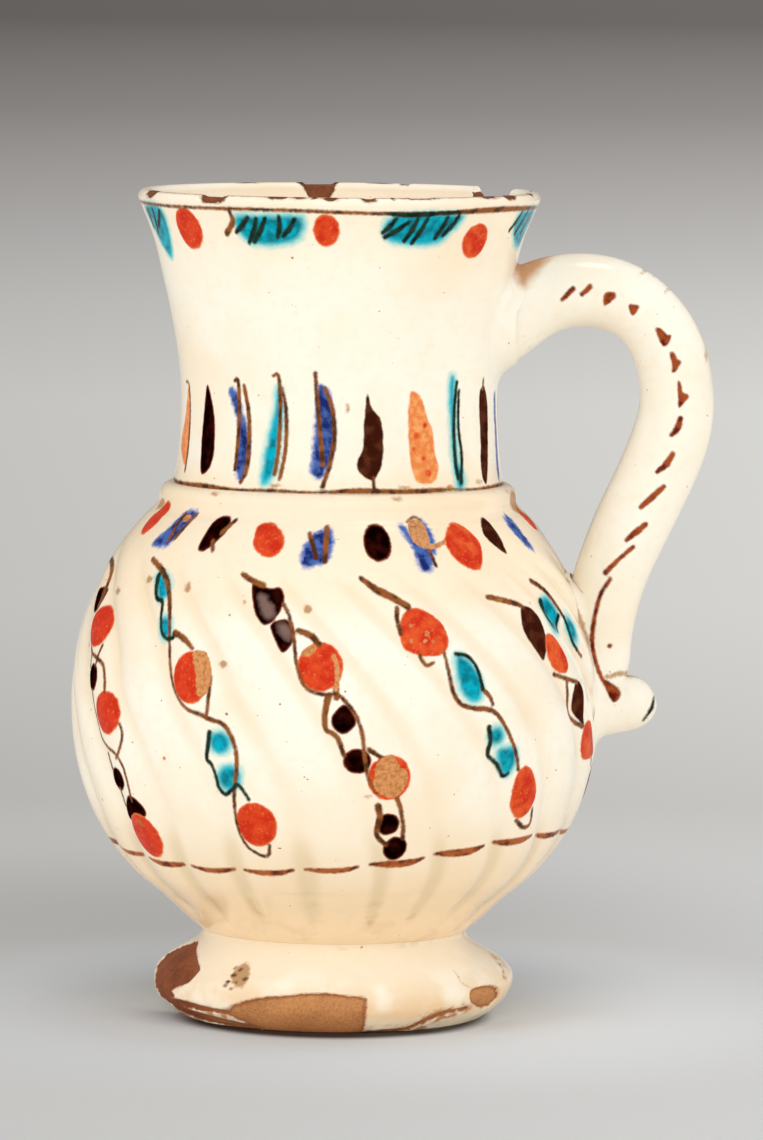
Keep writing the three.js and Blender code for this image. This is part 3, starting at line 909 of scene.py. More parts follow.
def neck_piece():
    outside = evenly(NECK_OUTLINE, FINE)
    lip_radius = LIP_THICKNESS / 2
    over = np.linspace(0, math.pi, 13)[1:-1]
    lip = np.stack([
        RIM_RADIUS - lip_radius * (1 - np.cos(over)), LIP_HEIGHT + lip_radius * np.sin(over),
    ], axis=1)
    share = (NECK_OUTLINE[:, 1] - NECK_BASE) / (LIP_HEIGHT - NECK_BASE)
    wall = NECK_WALL + (LIP_THICKNESS - NECK_WALL) * share
    inside = evenly(np.stack([NECK_OUTLINE[:, 0] - wall, NECK_OUTLINE[:, 1]], axis=1)[::-1], 2 * FINE)
    rows = np.vstack([outside, lip, inside])
    angle, radius, height = turned_rows(rows, round(2 * math.pi * RIM_RADIUS / FINE))
    over_the_lip = LIP_HEIGHT + lip_radius * over
    inside_length = over_the_lip[-1] + LIP_HEIGHT - inside[:, 1]
    unrolled = np.concatenate([outside[:, 1], over_the_lip, inside_length])
    unrolled = np.tile(unrolled[:, None], (1, angle.shape[1]))
    sheet = Sheet(np.degrees(angle), unrolled, NECK_OUTLINE)
    for paint in (paint_rim, paint_rim_back, paint_neck_front, paint_neck_back, paint_neck_lines,
                  paint_lip_chips):
        paint(sheet)
    sheet.depth["inside"] = (unrolled > over_the_lip[-1]).astype(float)
    radius += wobble(angle, height)
    radius += raised(sheet, "red", NECK_RED_RISE) + raised(sheet, "manganese", MANGANESE_RISE)
    outer_side = np.where(np.arange(len(rows)) < len(outside) + len(lip) / 2, 1, -1)[:, None]
    radius -= outer_side * raised(sheet, "clay", LIP_CHIP_DEPTH)
    loss = lip_break(angle)
    crumble = 0.12 * np.sin(3 * radius + 40 * angle) + 0.1 * np.sin(5 * radius - 67 * angle)
    top = RIM_TOP - loss + crumble * smoothstep(loss, 0.2, 1.5)
    sheet.depth["clay"] = np.maximum(sheet.depth["clay"], np.where(loss > 0.1, height - top, -FAR))
    height = np.minimum(height, top)
    height += 0.35 * smoothstep(height, 150, 178) * (1 - np.cos(angle)) / 2
    return grid_piece("painted_neck", turned_points(angle, radius, height), None, sheet.depth)


def paint_lip_chips(sheet):
    """Chips along the lip, with places over its edge given as lengths on the rounded clay."""
    sheet.dabs("clay", [
        (-38.5, 180, 7.4, 3.8), (-70, 180, 6.5, 3), (-18.1, 180.4, 4.2, 1.5), (-11.6, 180.4, 3, 1.4),
        (-7.1, 180.4, 1.6, 1.2), (-2.2, 180.2, 2.8, 1.8), (8.5, 180.2, 3.4, 2.2), (15.6, 180.4, 1.2, 1.2),
        (24, 180.5, 7, 1.4), (49, 180.4, 5.8, 1.4), (58, 180.2, 4.2, 2.2), (75, 180.4, 3, 1.6),
        (95, 180.4, 4, 1.8), (168, 181, 6, 1), (-150, 181, 5, 1),
    ])
    sheet.patch("clay", [
        (-166.5, 180.4), (-178.5, 180.4), (-178, 182.5), (-176.5, 184.5), (-174, 185.6), (-171, 185.2),
        (-169.5, 184.2), (-168, 182.6),
    ])
    sheet.stroke("stain", [(turn, 180.5) for turn in range(-75, 76, 5)], 0.5)


def collar_piece():
    ridge = (COLLAR_RIDGE_RADIUS, COLLAR_RIDGE_HEIGHT)
    outside = evenly(joined(
        curve_between((SHOULDER_RADIUS, SHOULDER_HEIGHT), LOW_COLLAR_BEND, ridge),
        curve_between(ridge, HIGH_COLLAR_BEND, (NECK_ROOT_RADIUS + 0.05, COLLAR_TOP)),
    ), FINE)
    rows = np.vstack([[(NECK_ROOT_RADIUS, SHOULDER_HEIGHT)], outside])
    angle, radius, height = turned_rows(rows, COLLAR_SIDES)
    sheet = Sheet(np.degrees(angle), height, outside)
    paint_shoulder_front(sheet)
    paint_shoulder_back(sheet)
    sheet.dabs("stain", [(79, 113, 8, 5), (-77, 112, 5, 2.5)])
    for turn in range(-160, 180, 58):
        sheet.dab("stain", turn + 6 * math.sin(turn), 115.6, 1.8, 0.7)
    radius += wobble(angle, height)
    return grid_piece("glazed_collar", turned_points(angle, radius, height), None, sheet.depth)


def foot_piece():
    widest = (FOOT_RADIUS, FOOT_WIDEST_HEIGHT)
    outside = evenly(joined(
        curve_between((FOOT_BASE_RADIUS, 0), LOW_FOOT_BEND, widest),
        curve_between(widest, HIGH_FOOT_BEND, (WAIST_RADIUS, FOOT_HEIGHT)),
    ), FINE)
    ring_inside = (FOOT_BASE_RADIUS - FOOT_RIM_WIDTH, 0)
    hollow = evenly(curve_between((FOOT_BORE_RADIUS, FOOT_HEIGHT), FOOT_HOLLOW_BEND, ring_inside), COARSE)
    base = evenly([ring_inside, outside[0]], 1)[1:-1]
    rows = np.vstack([outside, hollow, base])
    angle, radius, height = turned_rows(rows, round(2 * math.pi * FOOT_RADIUS / FINE))
    painted = slice(0, len(outside))
    sheet = Sheet(np.degrees(angle[painted]), height[painted], outside)
    paint_foot(sheet)
    radius[painted] += wobble(angle[painted], height[painted])
    radius[painted] -= raised(sheet, "clay", FOOT_CHIP_DEPTH, 0.35)
    return grid_piece("chipped_foot", turned_points(angle, radius, height), None,
                      spread(sheet.depth, len(rows), painted))


def paint_foot(sheet):
    """Chips down to the clay, worn edges and brown specks."""
    sheet.patches("clay", [
        [(-82, 15.6), (-70, 14.5), (-60.2, 13.3), (-52.8, 11.9), (-52.4, 10.3), (-54.7, 8.9),
         (-62.9, 6.8), (-61.1, 5.7), (-66, 4.6), (-73, 3.4), (-86, 3.4), (-97, 7), (-94, 13)],
        [(-36.6, 3.7), (-34.3, 5.3), (-28.6, 6.8), (-22.5, 7.9), (-14.9, 8.6), (-8.5, 9.1), (-2.2, 9.3),
         (4.1, 8.9), (10.7, 8.3), (10.6, 5.8), (11.3, 0.8), (6.8, -0.8), (-10, -0.9), (-24, -0.6),
         (-29.3, 0.6), (-33.4, 2.2)],
        [(49.6, 7.9), (53.4, 8.7), (60.4, 8.6), (66.1, 7.7), (69.3, 5.8), (67.5, 4.2), (61.3, 3.6),
         (52.2, 5.5)],
    ])
    sheet.strokes("clay", [
        ([(-73, 3.6), (-60, 4.2), (-50, 4.2), (-42, 4), (-36, 4)], 2, 1.8, 1.4, 0.8, 1),
        ([(-84, 3), (-67, 2.3), (-58, 1.8), (-48, 1.3), (-40, 0.9), (-29, 0.3)],
         3, 2.8, 2.6, 2.4, 2, 1.4),
        ([(11, 0), (20, 0.2), (28, 0.5), (32, 1.8), (38, 3.6), (44, 4.2), (51, 4.4)],
         0.6, 0.9, 1.1, 1, 0.6),
    ])
    sheet.patches("rust", [
        [(-78, 5.4), (-60, 5.4), (-46, 5), (-35, 4.6), (-30, 0), (-50, -1), (-80, -1)],
        [(12, 1.6), (24, 2.2), (33, 4.6), (50, 6), (52, 3.4), (36, -0.5), (12, -0.8)],
    ])
    sheet.stroke("rust", [
        (88, 12.6), (84, 12.1), (78.7, 10.9), (75.1, 9.7), (71, 8.9),
    ], 1.6, 2.4, 2.4, 2, 1.2)
    sheet.dab("clay", 158, 4, 9, 6)
    sheet.dab("stain", -33, 11.9, 5.6, 3.4, 40)
    sheet.dabs("brown", [
        (-34.6, 12.9, 0.7, 0.5), (-35.5, 11.9, 1, 0.6), (-36.6, 9.8, 0.8, 0.5), (-34, 9.3, 0.6, 0.4),
        (-36.2, 10.6, 0.8, 0.5), (-30.4, 11.4, 0.7, 0.4), (-37.6, 13.2, 0.5, 0.4), (-33, 10.6, 0.4, 0.4),
    ])
    sheet.stroke("stain", [(47.5, 12.4), (46.8, 10.4), (50, 8.9)], 0.2)
    for turn in range(105, 265, 20):
        sheet.stroke("clay", [(turn, 0), (turn + 6, 0.2), (turn + 11, 0)], 0.5, 1.1, 0.5)


def seam_ring(name, inner, outer, bottom, top, bulge):
    """A ring of slip with a slightly rounded outside."""
    rise = np.linspace(0, 1, 7)
    outside = np.stack([outer + bulge * np.sin(math.pi * rise), bottom + (top - bottom) * rise], axis=1)
    rows = np.vstack([[(inner, bottom)], outside, [(inner, top)]])
    angle, radius, height = turned_rows(rows, SEAM_SIDES)
    return grid_piece(name, turned_points(angle, radius + wobble(angle, height), height))


def foot_seam_piece():
    return seam_ring("foot_seam", FOOT_BORE_RADIUS, WAIST_RADIUS, FOOT_HEIGHT, BODY_BASE, -0.12)


def neck_seam_piece():
    return seam_ring("neck_seam", THROAT_RADIUS, NECK_ROOT_RADIUS, SHOULDER_HEIGHT, NECK_BASE, 0)


# Handle, curl and the beads of slip at its two ends

def handle_coil():
    """Middle line of the handle's coil and its radius along it."""
    outset = curve_between(HANDLE_ROOT, HANDLE_OUTSET_BEND, HANDLE_CROWN)
    path = evenly(joined(
        outset,
        curve_between(HANDLE_CROWN, HANDLE_BOW_BEND, HANDLE_BOW),
        curve_between(HANDLE_BOW, HANDLE_DROP_BEND, HANDLE_LANDING),
        np.array([HANDLE_LANDING, HANDLE_END], float),
    ), FINE)
    along = FINE * np.arange(len(path))
    outset_length = np.linalg.norm(np.diff(outset, axis=0), axis=1).sum()
    swell = np.clip(1 - along / outset_length, 0, None) ** HANDLE_SWELL_POWER
    uneven = 0.33 * np.sin(math.tau * (along - 55) / 75) + 0.05 * np.sin(0.31 * along)
    taper = smoothstep(along, along[-1] - HANDLE_END_TAPER, along[-1])
    plain = HANDLE_RADIUS + (HANDLE_ROOT_RADIUS - HANDLE_RADIUS) * swell + uneven * (1 - swell)
    return path, plain + (HANDLE_END_RADIUS - plain) * taper


def curl_coil():
    """Middle line of the curl and its radius along it, down to a round tip."""
    path = evenly(curve_between(CURL_ROOT, CURL_BEND, CURL_TIP), FINE)
    share = (path[:, 0] - CURL_ROOT[0]) / (CURL_TIP[0] - CURL_ROOT[0])
    full = CURL_RADIUS + (CURL_END_RADIUS - CURL_RADIUS) * share
    past = np.clip(1 - (CURL_TIP[0] - path[:, 0]) / CURL_TIP_LENGTH, 0, 1)
    return path, CURL_TIP_RADIUS + (full - CURL_TIP_RADIUS) * np.sqrt(1 - past ** 2)


def coil_points(path, radii, sides):
    """Rings of points round a path in the upright plane through the axis."""
    along = np.gradient(path, axis=0)
    along /= np.linalg.norm(along, axis=1)[:, None]
    turn = np.linspace(0, 2 * math.pi, sides, endpoint=False)
    across = radii[:, None] * np.cos(turn)
    x = path[:, :1] - along[:, 1:] * across
    z = path[:, 1:] + along[:, :1] * across
    return np.stack([x, radii[:, None] * np.sin(turn), z], axis=-1)


def outside_of_jug(points, sink=0.6):
    """Moves points that lie deep in the wall of the jug out towards its surface."""
    angle = np.arctan2(points[..., 0], -points[..., 1])
    reach = np.hypot(points[..., 0], points[..., 1])
    height = points[..., 2]
    surface = np.where(height < SHOULDER_HEIGHT, body_surface(angle, height), neck_surface(angle, height))
    grow = np.maximum(reach, surface - sink) / reach
    return points * np.stack([grow, grow, np.ones(grow.shape)], axis=-1)


def coil_piece(name, coil, sides, paint):
    path, radii = coil
    points = outside_of_jug(coil_points(path, radii, sides))
    sheet = Sheet(points[..., 0], points[..., 2])
    paint(sheet)
    poles = outside_of_jug(np.array([(path[0][0], 0, path[0][1]), (path[-1][0], 0, path[-1][1])]))
    return grid_piece(name, points, poles, sheet.depth)


def paint_handle(sheet):
    """Row of brown dabs along the handle, a long drop at its lower end, and dirt at both ends."""
    sheet.strokes("brown", [
        ([(48.3, 157.1), (50.6, 159.5)], 0.8, 1.1),
        ([(52.6, 158.3), (54.3, 160)], 0.8, 1.1),
        ([(74.3, 131.6), (73.7, 129.6), (72.4, 127.9)], 1, 1.4, 0.8),
        ([(72.7, 123.9), (71.4, 121.7), (69.4, 120)], 1, 1.4, 0.8),
        ([(70.8, 116.7), (68.2, 114.3), (66, 112.3)], 1, 1.3, 1),
        ([(66.9, 108.4), (65, 106.8), (62.9, 105)], 1.1, 1.4, 0.8),
        ([(64.4, 103.5), (61.4, 100.9), (58.4, 97.8)], 0.8, 0.8, 1.1),
        ([(59.5, 96.5), (57.5, 93.2), (56.3, 88.8), (55.7, 84.4), (55.9, 80.9), (57.1, 76.6),
          (58.8, 73.1)], 0.7, 0.9, 0.7),
    ])
    sheet.patches("brown", [
        [(57.4, 156.1), (57.6, 158.5), (59.5, 158.8), (59.8, 157.7), (58.2, 156.3)],
        [(62.8, 156), (65, 156), (64.3, 154.4), (63.5, 154)],
        [(68.7, 151), (69.8, 151), (71.1, 149.7), (72, 149.5), (71.3, 147.7), (70.3, 147.3), (69.4, 149)],
        [(71.8, 145.8), (72.7, 145.8), (73.3, 144.5), (74.2, 143.8), (73.6, 142.5), (72.5, 141.6),
         (72.3, 143.6)],
        [(73.6, 139.4), (74.2, 139.2), (74.7, 137.3), (76, 136.4), (74.9, 134.9), (73.9, 134),
         (73.8, 136.6)],
        [(58.2, 74.4), (61, 72.7), (62.1, 71.2), (60.8, 69.4), (59.5, 70.9)],
    ])
    sheet.dab("brown", 59.6, 81.8, 1, 0.8)
    sheet.patch("root", [
        (36.9, 166), (46.9, 167.8), (44.3, 164.5), (41.7, 161.4), (40, 159.9), (38.2, 162.1),
    ])
    sheet.dabs("stain", [
        (66.2, 163.2, 2, 0.5, -30), (71.5, 159.3, 1.6, 0.5, -40), (79.8, 145, 0.5, 1.8, 0),
    ])
    sheet.strokes("stain", [
        ([(58.6, 74.8), (62.1, 75.5), (66, 74.7)], 0.8, 1.2, 0.6),
        ([(49.7, 95.3), (51.5, 90.9), (53.5, 86.2), (55.1, 81.8)], 1.6, 1.4, 1.2, 0.8),
    ])


def paint_curl(sheet):
    """The end of the handle's drop, dirt in the crease and a dark dab at the tip."""
    sheet.patch("brown", [(58.2, 74.4), (61, 72.7), (62.1, 71.2), (60.8, 69.4), (59.5, 70.9)])
    sheet.stroke("stain", [(58.6, 74.8), (62.1, 75.1), (66, 74.7)], 0.8, 1.2, 0.6)
    sheet.stroke("dark", [(69.5, 70.1), (68.9, 67.7), (67.1, 65.1)], 0.3, 0.8, 0.3)


def handle_piece():
    return coil_piece("painted_handle", handle_coil(), HANDLE_SIDES, paint_handle)


def curl_piece():
    return coil_piece("handle_roll", curl_coil(), CURL_SIDES, paint_curl)


def coil_distance(points, coils):
    """Distance from points to the nearest of some coils, below zero inside."""
    nearest = np.full(points.shape[:-1], np.inf)
    for path, radii in coils:
        for (x, z), radius in zip(path[::2], radii[::2]):
            reach = np.sqrt((points[..., 0] - x) ** 2 + points[..., 1] ** 2 + (points[..., 2] - z) ** 2)
            nearest = np.minimum(nearest, reach - radius)
    return nearest


def blended_distance(points, surface, coils, size):
    """Distance to a turned surface and coils on it, with a hollow curve in the angle between them."""
    angle = np.arctan2(points[..., 0], -points[..., 1])
    from_wall = np.hypot(points[..., 0], points[..., 1]) - surface(angle, points[..., 2])
    from_coil = coil_distance(points, coils)
    overlap = np.clip(size - np.abs(from_wall - from_coil), 0, None) / size
    return np.minimum(from_wall, from_coil) - overlap ** 2 * size / 4


def settle(points, field, rounds=8, step=0.02):
    """Moves points onto the place where a field is zero."""
    for _ in range(rounds):
        value = field(points)
        slope = np.stack([(field(points + move) - value) / step for move in step * np.eye(3)], axis=-1)
        points = points - slope * (value / np.maximum((slope ** 2).sum(-1), 0.05))[..., None]
    return points


def bead_piece(name, surface, coils, middle_height, bead_size, paint):
    """A bead of slip all round the place where coils meet a turned surface on its handle side."""
    turn = np.linspace(0, 2 * math.pi, BEAD_SIDES, endpoint=False)
    reach = np.linspace(0, BEAD_SEARCH, 401)
    middle_radius = surface(math.pi / 2, middle_height)

    def on_surface(distance):
        height = middle_height + distance * np.cos(turn)
        angle = math.pi / 2 - distance * np.sin(turn) / middle_radius
        return turned_points(angle, surface(angle, height), height)

    inside = np.array([coil_distance(on_surface(distance), coils) < 0 for distance in reach])
    contact = reach[len(reach) - 1 - np.argmax(inside[::-1], axis=0)]
    size = bead_size(turn)
    foot = on_surface(contact + BEAD_SPREAD * size)
    seat = on_surface(contact)
    outwards = seat * [1, 1, 0]
    outwards /= np.linalg.norm(outwards, axis=1)[:, None]
    crest = seat + BEAD_SPREAD * size[:, None] * outwards
    shares = np.linspace(0, 1, BEAD_ROWS)[None, :, None]
    start = foot[:, None] * (1 - shares) + crest[:, None] * shares

    def above_skin(points):
        return blended_distance(points, surface, coils, size[:, None]) + BEAD_SKIN_DEPTH

    root = seat - BEAD_ROOT_DEPTH * outwards
    points = np.concatenate([settle(start, above_skin), root[:, None]], axis=1)
    sheet = Sheet(points[..., 0], points[..., 2])
    paint(sheet)
    return grid_piece(name, points, None, sheet.depth)


def top_bead_piece():
    return bead_piece("handle_top_seam", neck_surface, [handle_coil()], HANDLE_ROOT[1],
                      lambda turn: 2.8 - 1.4 * np.cos(turn) + 2.6 * np.sin(turn) ** 2, paint_handle)


def base_bead_piece():
    return bead_piece("handle_base_seam", body_surface, [handle_coil(), curl_coil()], HANDLE_LANDING[1],
                      lambda turn: 2.6 + 0.4 * np.cos(2 * turn), paint_handle)


# Materials

def shade(red, green, blue):
    """A screen colour, from 0 to 255, in the light values that the materials work with."""
    parts = [part / 255 for part in (red, green, blue)]
    return [part / 12.92 if part < 0.04 else ((part + 0.055) / 1.055) ** 2.4 for part in parts] + [1]


class Coats:
    """A material that is built up coat by coat."""

    def __init__(self, name, colour, roughness):
        self.material = bpy.data.materials.new(name)
        self.material.use_nodes = True
        self.tree = self.material.node_tree
        self.surface = self.tree.nodes["Principled BSDF"]
        self.place = self.node("ShaderNodeTexCoord").outputs["Object"]
        self.colour = colour
        self.roughness = roughness
        self.shine = 0.5

    def node(self, kind, **settings):
        node = self.tree.nodes.new(kind)
        for setting, value in settings.items():
            setattr(node, setting, value)
        return node

    def link(self, value, socket):
        if isinstance(value, bpy.types.NodeSocket):
            self.tree.links.new(value, socket)
        else:
            socket.default_value = value

    def calculate(self, operation, first, second):
        node = self.node("ShaderNodeMath", operation=operation)
        self.link(first, node.inputs[0])
        self.link(second, node.inputs[1])
        return node.outputs[0]

    def times(self, first, second):
        return self.calculate("MULTIPLY", first, second)

    def ramp(self, value, low, high):
        """0 at low and 1 at high, with a smooth change between them."""
        node = self.node("ShaderNodeMapRange", interpolation_type="SMOOTHSTEP")
        self.link(value, node.inputs["Value"])
        node.inputs["From Min"].default_value = low
        node.inputs["From Max"].default_value = high
        return node.outputs["Result"]

    def noise(self, size, detail=3):
        """Cloudy noise with spots of a size in millimetres."""
        node = self.node("ShaderNodeTexNoise")
        self.link(self.place, node.inputs["Vector"])
        node.inputs["Scale"].default_value = 1 / (size * MM)
        node.inputs["Detail"].default_value = detail
        return node.outputs["Fac"]

    def axis(self, name):
        """How far a place lies along an axis, in metres."""
        node = self.node("ShaderNodeSeparateXYZ")
        self.link(self.place, node.inputs[0])
        return node.outputs[name]

    def distance(self, *point):
        """Distance from a point, in metres."""
        node = self.node("ShaderNodeVectorMath", operation="DISTANCE")
        self.link(self.place, node.inputs[0])
        node.inputs[1].default_value = point
        return node.outputs["Value"]

    def layer(self, kind):
        """What the mesh holds for a kind of mark."""
        return self.node("ShaderNodeAttribute", attribute_name=kind).outputs["Fac"]

    def depth(self, kind, ragged, grain):
        """Depth inside a kind of mark, made uneven by noise, in millimetres."""
        offset = self.times(self.calculate("SUBTRACT", self.noise(grain), 0.5), 2 * ragged)
        return self.calculate("ADD", self.layer(kind), offset)

    def clouds(self, size, detail, low, high):
        """Shares from 0 to 1 in clouds of a size in millimetres, between two values of the noise."""
        return self.ramp(self.noise(size, detail), low, high)

    def blend(self, share, first, second):
        """A mix of two colours, which are inputs 6 and 7 of the node."""
        node = self.node("ShaderNodeMix", data_type="RGBA")
        self.link(share, node.inputs[0])
        self.link(first, node.inputs[6])
        self.link(second, node.inputs[7])
        return node.outputs[2]

    def between(self, share, first, second):
        """A mix of two numbers, which are inputs 2 and 3 of the node."""
        node = self.node("ShaderNodeMix", data_type="FLOAT")
        self.link(share, node.inputs[0])
        self.link(first, node.inputs[2])
        self.link(second, node.inputs[3])
        return node.outputs[0]

    def cover(self, share, colour, roughness=None, shine=None):
        """Lays a coat over what is there, and over its roughness and shine where they are given."""
        self.colour = self.blend(share, self.colour, colour)
        if roughness is not None:
            self.roughness = self.between(share, self.roughness, roughness)
        if shine is not None:
            self.shine = self.between(share, self.shine, shine)

    def finished(self, ripple_size, ripple_depth):
        """The material, with faint ripples of a size and depth in millimetres."""
        bump = self.node("ShaderNodeBump")
        bump.inputs["Distance"].default_value = ripple_depth * MM
        self.link(self.noise(ripple_size), bump.inputs["Height"])
        self.link(bump.outputs["Normal"], self.surface.inputs["Normal"])
        self.link(self.colour, self.surface.inputs["Base Color"])
        self.link(self.roughness, self.surface.inputs["Roughness"])
        self.link(self.shine, self.surface.inputs["Specular IOR Level"])
        return self.material


CREAM = shade(252, 249, 238)
WARM_CREAM = shade(249, 237, 215)
# Tint of painted shade on the shoulder, also laid more faintly at the rim
SHOULDER_SHADE_AND_RIM_TINT = shade(250, 221, 180)
# Warmer, darker glaze low down: partly its own tone, partly painted shade under the belly
LOW_CREAM_AND_SHADE = shade(250, 226, 191)
FOOT_CREAM = shade(253, 246, 230)
POOLED_GLAZE = shade(228, 209, 174)
CLAY = shade(204, 146, 94)
BROWN_CLAY = shade(168, 114, 70)
RED_CLAY = shade(146, 78, 42)
DARK_CLAY = shade(104, 54, 28)
GLOSS = 0.16
PAINT_SHINE = 0.1


def glaze_coats(name):
    """Cream glaze: warmer in clouds, with faint mottling and brown specks, and warmer and darker low
    down, partly in its own tone and partly as painted shade under the belly.
    """
    coats = Coats(name, CREAM, GLOSS)
    coats.cover(coats.clouds(34, 4, 0.42, 0.72), WARM_CREAM)
    # Partly painted shade: warmer and darker towards the bottom
    coats.cover(coats.ramp(coats.axis("Z"), 58 * MM, 20 * MM), LOW_CREAM_AND_SHADE)
    coats.cover(coats.times(coats.clouds(2.4, 5, 0.45, 0.75), 0.4), WARM_CREAM)
    coats.cover(coats.clouds(1.3, 1, 0.76, 0.82), shade(180, 118, 66))
    return coats


def shoulder_shade_and_rim_tint_coat(coats):
    """Painted shade: a warmer, darker tint on the shoulder, also laid more faintly towards the rim."""
    height = coats.axis("Z")
    shoulder = coats.times(coats.ramp(height, 85 * MM, 98 * MM), coats.ramp(height, 124 * MM, 116 * MM))
    rim = coats.times(coats.ramp(height, 155 * MM, 178 * MM), 0.55)
    coats.cover(coats.times(coats.calculate("ADD", shoulder, rim), 0.45), SHOULDER_SHADE_AND_RIM_TINT)


def turquoise_coat(coats):
    """Blue-green that has run into the glaze."""
    depth = coats.depth("turquoise", 0.7, 2.2)
    coats.cover(coats.ramp(depth, -1.6, 0.5), shade(120, 214, 220))
    tone = coats.blend(coats.clouds(2.2, 3, 0.35, 0.65), shade(0, 120, 142), shade(0, 173, 201))
    coats.cover(coats.ramp(depth, -0.4, 1), tone, GLOSS, PAINT_SHINE)


def cobalt_coat(coats):
    """Blue that has run a little."""
    depth = coats.depth("cobalt", 0.8, 1.3)
    coats.cover(coats.ramp(depth, -0.7, 0.4), shade(126, 146, 204))
    tone = coats.blend(coats.clouds(2.4, 6, 0.4, 0.62), shade(22, 40, 106), shade(72, 102, 174))
    coats.cover(coats.ramp(depth, -0.1, 0.8), tone, GLOSS, PAINT_SHINE)


def manganese_coat(coats):
    """Glassy brown black with a red brown edge."""
    depth = coats.depth("manganese", 0.25, 1.5)
    coats.cover(coats.ramp(depth, -0.35, 0.1), shade(110, 44, 28), GLOSS, 0)
    tone = coats.blend(coats.clouds(2.5, 3, 0.4, 0.75), shade(10, 1, 1), shade(50, 11, 7))
    coats.cover(coats.ramp(depth, 0, 0.4), tone)


def umber_coat(coats):
    """The same dark glaze laid on thinner, so that it stays brown."""
    depth = coats.depth("umber", 0.25, 1.5)
    tone = coats.blend(coats.clouds(2.5, 3, 0.4, 0.7), shade(58, 22, 12), shade(88, 46, 28))
    coats.cover(coats.ramp(depth, -0.2, 0.3), tone, GLOSS, 0)


def haze_coat(coats):
    """Pale haze on the dark glaze."""
    share = coats.times(coats.ramp(coats.depth("haze", 0.8, 2), -0.6, 1), 0.85)
    coats.cover(share, shade(132, 106, 99))


def red_coat(coats):
    """Thick mottled red slip."""
    depth = coats.depth("red", 0.3, 1.2)
    coats.cover(coats.ramp(depth, -0.25, 0.2), shade(226, 118, 68), 0.35, PAINT_SHINE)
    rightward = coats.ramp(coats.axis("X"), -70 * MM, 40 * MM)
    hue = coats.blend(rightward, shade(216, 60, 28), shade(226, 94, 44))
    tone = coats.blend(coats.clouds(3, 5, 0.35, 0.7), shade(202, 44, 17), hue)
    grain = coats.times(coats.clouds(0.7, 3, 0.55, 0.75), 0.5)
    tone = coats.blend(grain, tone, shade(240, 134, 84))
    coats.cover(coats.ramp(depth, 0, 0.5), tone)


def thin_red_coat(coats):
    """Red slip brushed so thin that the glaze shows through."""
    tone = coats.blend(coats.clouds(1.4, 5, 0.4, 0.7), shade(230, 134, 72), shade(243, 168, 106))
    coats.cover(coats.ramp(coats.depth("thin", 0.3, 1.6), -0.2, 0.4), tone, GLOSS, PAINT_SHINE)


def line_coat(coats, kind, thick, thin):
    """Brush lines, paler where the brush ran dry."""
    depth = coats.depth(kind, 0.25, 0.9)
    tone = coats.blend(coats.clouds(2.6, 5, 0.36, 0.6), thick, thin)
    coats.cover(coats.ramp(depth, -0.4, 0.2), tone, GLOSS, PAINT_SHINE)


def brown_line_coat(coats):
    line_coat(coats, "brown", shade(80, 44, 20), shade(144, 86, 42))


def dash_coat(coats):
    line_coat(coats, "dash", shade(108, 40, 14), shade(174, 96, 48))


def rust_line_coat(coats):
    line_coat(coats, "brown", shade(98, 24, 6), shade(162, 78, 36))


def dark_line_coat(coats):
    line_coat(coats, "dark", shade(8, 27, 17), shade(28, 54, 40))


def buff_coat(coats):
    """Places where paint and glaze have come off."""
    depth = coats.depth("buff", 0.5, 1)
    tone = coats.blend(coats.clouds(0.8, 4, 0.4, 0.65), shade(214, 150, 96), shade(184, 122, 74))
    coats.cover(coats.ramp(depth, -0.15, 0.2), tone, 0.6)


def stain_coat(coats):
    """Soft brown dirt."""
    share = coats.times(coats.ramp(coats.depth("stain", 0.6, 0.9), -0.4, 0.4), 0.8)
    coats.cover(share, shade(172, 118, 54), 0.4, PAINT_SHINE)


def root_stain_coat(coats):
    """A brown stain that fades out, on the handle beside the neck."""
    share = coats.times(coats.ramp(coats.depth("root", 1, 3), -1.4, 1.4), 0.8)
    coats.cover(share, shade(186, 118, 32), 0.4, PAINT_SHINE)


def rust_stain_coat(coats):
    """Patches of rust-brown wear."""
    patches = coats.clouds(2.6, 6, 0.42, 0.6)
    share = coats.times(coats.ramp(coats.depth("rust", 0.6, 2), -0.5, 0.8), patches)
    coats.cover(coats.times(share, 0.85), shade(186, 120, 64), 0.6)


def clay_coat(coats, light, dark, edge):
    """Bare clay in chips, rough and sandy, with a darker edge and a faint stain round it."""
    depth = coats.depth("clay", 0.6, 1.4)
    coats.cover(coats.times(coats.ramp(depth, -0.5, 0.1), 0.45), edge, 0.6)
    grain = coats.clouds(0.6, 4, 0.38, 0.66)
    clouds = coats.clouds(6, 6, 0.4, 0.7)
    share = coats.times(coats.calculate("ADD", grain, clouds), 0.5)
    rim = coats.times(coats.ramp(depth, 0.9, 0.1), 0.6)
    tone = coats.blend(rim, coats.blend(share, light, dark), edge)
    coats.cover(coats.ramp(depth, -0.15, 0.15), tone, 0.9)


def body_material():
    coats = glaze_coats("body glaze")
    shoulder_shade_and_rim_tint_coat(coats)
    coats.cover(coats.times(coats.ramp(coats.layer("pool"), 0, 1), 0.65), POOLED_GLAZE)
    # Painted shade in the grooves of the flutes above the dashes
    coats.cover(coats.times(coats.ramp(coats.layer("groove_shade"), 0, 1), 0.45), shade(243, 220, 186))
    # Patchy brown low on the belly, strongest in the grooves
    patchy = coats.times(coats.layer("low_belly_brown"), coats.clouds(5, 6, 0.42, 0.68))
    coats.cover(coats.times(coats.ramp(patchy, 0, 1), 0.75), shade(196, 146, 92))
    for coat in (turquoise_coat, cobalt_coat, manganese_coat, umber_coat, haze_coat, red_coat,
                 brown_line_coat, dash_coat, dark_line_coat, buff_coat, stain_coat):
        coat(coats)
    return coats.finished(9, 0.12)


